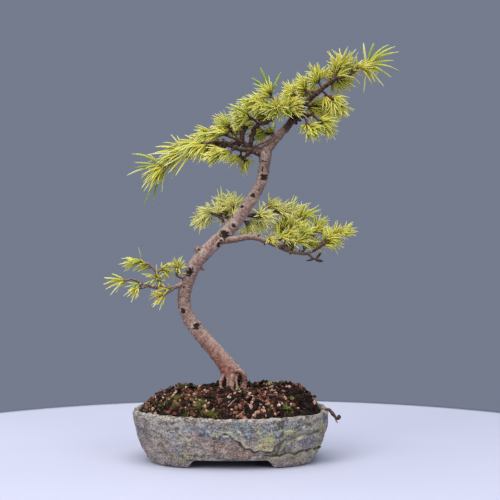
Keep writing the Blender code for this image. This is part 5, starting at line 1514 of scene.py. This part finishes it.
def clay_finish():
    """Unglazed grey-beige clay with washes of blue-grey, ochre and rust, a pale lip and dark pits.

    The folds have dark cracks with painted shadow at their feet and a painted highlight on their edges, and
    the underside has painted shade.
    """
    make = Finish("handmade clay", 0.78)
    place = make.place()
    broad = make.noise(place, 48.0, 6.0, 0.65)
    mottle = make.noise(place, 190.0, 5.0, 0.7)
    speck = make.noise(place, 620.0, 3.0, 0.65)
    brushed = make.noise(make.scaled(place, (1.0, 1.0, 3.2)), 85.0, 5.0, 0.7)
    body = make.ramp(broad, (0.33, (0.105, 0.082, 0.070)), (0.45, (0.20, 0.165, 0.145)),
                     (0.57, (0.30, 0.260, 0.232)), (0.70, (0.43, 0.39, 0.345)))
    streaks = make.ramp(mottle, (0.38, (0.030, 0.052, 0.100)), (0.60, (0.125, 0.185, 0.270)))
    lip = make.ramp(mottle, (0.36, (0.095, 0.073, 0.060)), (0.46, (0.25, 0.212, 0.178)),
                    (0.60, (0.47, 0.42, 0.365)))
    ragged = make.ramp(brushed, (0.32, 0.3), (0.50, 1.0))
    broken = make.ramp(mottle, (0.42, 0.1), (0.52, 0.95))
    rust, blue, ochre = (make.times(make.value(glaze), ragged) for glaze in ("rust", "blue", "ochre"))
    body = make.coats(body, (rust, (0.30, 0.145, 0.095)), (blue, streaks), (ochre, (0.38, 0.345, 0.105)),
                      (make.value("lip"), lip),
                      (make.ramp(brushed, (0.38, 0.8), (0.47, 0.0)), (0.055, 0.045, 0.038)),
                      (make.ramp(brushed, (0.54, 0.0), (0.65, 0.6)), (0.46, 0.42, 0.355)),
                      (make.ramp(mottle, (0.37, 0.8), (0.45, 0.0)), (0.050, 0.040, 0.033)),
                      (make.ramp(speck, (0.55, 0.0), (0.64, 0.65)), (0.54, 0.51, 0.44)),
                      (make.ramp(speck, (0.37, 0.85), (0.44, 0.0)), (0.040, 0.032, 0.026)),
                      (make.times(make.value("veins"), broken), (0.62, 0.59, 0.33)),
                      # Painted highlight on the folds' edges.
                      (make.times(make.value("edge"), 0.5), (0.46, 0.43, 0.25)),
                      # Dark cracks with painted shadow at the folds' feet.
                      (make.value("crack"), (0.016, 0.012, 0.009)),
                      # Painted shade under the pot and inside its feet.
                      (make.times(make.value("under"), 0.85), (0.020, 0.017, 0.015)))
    make.rough(mottle, 0.88, 0.62)
    make.bump(make.plus(mottle, make.times(speck, 0.6)), 0.8, 0.0012)
    return make.coloured(body)


def soil_finish():
    """Damp soil: brown-black crumbs."""
    make = Finish("damp soil", 0.95, 0.15)
    crumbs = make.noise(make.place(), 420.0, 5.0, 0.7)
    make.bump(crumbs, 0.9, 0.0012)
    return make.coloured(make.ramp(crumbs, (0.34, (0.004, 0.003, 0.002)), (0.50, (0.014, 0.009, 0.007)),
                                   (0.66, (0.050, 0.031, 0.022))))


def granule_finish():
    """Grains of soil and fired clay: a tint for each, from brown-black through red to cream."""
    make = Finish("clay grains", 0.88, 0.2)
    pores = make.noise(make.place(), 620.0, 5.0, 0.75)
    body = make.ramp(make.value("tint"), (0.0, (0.003, 0.002, 0.0015)), (0.18, (0.010, 0.006, 0.004)),
                     (0.34, (0.038, 0.018, 0.011)), (0.42, (0.15, 0.045, 0.026)),
                     (0.56, (0.31, 0.115, 0.068)), (0.72, (0.50, 0.25, 0.165)),
                     (0.93, (0.64, 0.42, 0.31)), (1.0, (0.76, 0.62, 0.49)))
    make.bump(pores, 0.6, 0.0006)
    dark_pores = make.ramp(pores, (0.38, 0.85), (0.52, 0.0))
    return make.coloured(make.coats(body, (dark_pores, (0.030, 0.016, 0.011))))


def moss_finish(name, *stops):
    """Soft green blades: dark at the foot and lighter at the tip, with a hue that wanders."""
    make = Finish(name, 0.7)
    wander = make.noise(make.place(), 55.0, 2.0, 0.5)
    height = make.plus(make.times(make.value("along"), 0.6), make.times(make.value("tint"), 0.4))
    browned = make.ramp(wander, (0.38, 0.0), (0.66, 0.6))
    return make.coloured(make.coats(make.ramp(height, *stops), (browned, (0.20, 0.15, 0.03))))


def screen_finish():
    """Black moulded plastic with a fine, slightly worn grain."""
    make = Finish("black plastic", 0.5)
    grain = make.noise(make.place(), 1500.0, 3.0)
    make.bump(grain, 0.2, 0.0002)
    return make.coloured(make.ramp(grain, (0.3, (0.012, 0.012, 0.013)), (0.7, (0.032, 0.032, 0.034))))


def floor_finish():
    """A pale, faintly clouded table top."""
    make = Finish("pale table", 0.6)
    clouds = make.noise(make.place(), 3.0, 3.0, 0.5)
    return make.coloured(make.ramp(clouds, (0.3, (0.55, 0.56, 0.69)), (0.7, (0.58, 0.59, 0.72))))


# Stage

def make_floor():
    """A round table top: a disc grid of radius r (i / rows), closed by a pole."""
    turn = round_turns(FLOOR_COLUMNS)
    reach = np.linspace(FLOOR_RADIUS, FLOOR_RADIUS / FLOOR_ROWS, FLOOR_ROWS)[:, None]
    heap = Surfaces()
    top = joined(reach * np.cos(turn), reach * np.sin(turn), 0.0) / MM
    heap.add(top[None], np.array([(0.0, 0.0, -8.0)]), np.array([(0.0, 0.0, 0.0)]))
    floor = heap.write("table_top")
    floor.data.materials.append(floor_finish())


def area_light(name, place, size, power, colour):
    """A round soft light that points at the middle of the plant."""
    light = bpy.data.lights.new(name, "AREA")
    light.shape = "DISK"
    light.size = size
    light.energy = power
    light.color = colour
    lamp = bpy.data.objects.new(name, light)
    lamp.location = place
    bpy.context.scene.collection.objects.link(lamp)
    lamp.rotation_euler = (Vector(LIT_POINT) - lamp.location).to_track_quat("-Z", "Y").to_euler()


def make_studio():
    """Slate-grey surroundings, a wide soft light overhead, a softer key from the upper left, and a fill."""
    world = bpy.data.worlds.new("studio")
    world.use_nodes = True
    background = world.node_tree.nodes["Background"]
    background.inputs["Color"].default_value = SURROUNDINGS
    background.inputs["Strength"].default_value = 1.0
    bpy.context.scene.world = world
    bpy.context.scene.view_settings.view_transform = "Standard"
    for light in LIGHTS:
        area_light(*light)


def make_camera():
    """The photograph's view: level, at about half the plant's height and 1.2 m away."""
    camera = bpy.data.cameras.new("camera")
    camera.sensor_width = CAMERA_SENSOR
    camera.lens = CAMERA_LENS
    viewer = bpy.data.objects.new("camera", camera)
    viewer.location = CAMERA_PLACE
    viewer.rotation_euler = (math.pi / 2, 0.0, 0.0)
    bpy.context.scene.collection.objects.link(viewer)
    bpy.context.scene.camera = viewer


def dress(piece, finish):
    """Gives a piece its finish, its body and the record's material slot."""
    piece.data.materials.clear()
    piece.data.materials.append(finish)
    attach(piece, "root")


def main():
    make_camera()
    make_floor()
    make_studio()

    pot = make_pot()
    dress(pot, clay_finish())
    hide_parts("pot")

    bed = make_soil()
    dress(bed, soil_finish())
    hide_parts("soil")
    grains = granule_finish()
    for piece in make_granules():
        dress(piece, grains)
    dress(make_moss(), moss_finish("moss", *MOSS_COLOURS))
    dress(make_weeds(), moss_finish("sprouts", *SPROUT_COLOURS))

    bark = bark_finish()
    trunk = make_trunk()
    limbs = make_limbs()
    litter = make_litter()
    for piece in (trunk, limbs, litter):
        dress(piece, bark)
    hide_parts("trunk")
    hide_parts("trunk")

    needles, twigs = make_sprays()
    lime = needle_finish()
    for piece in needles:
        dress(piece, lime)
    for piece in twigs:
        dress(piece, bark)

    black = screen_finish()
    for side in ("left", "right"):
        screen = bpy.data.objects["drain_screen_" + side]
        screen.data.materials.clear()
        screen.data.materials.append(black)


main()
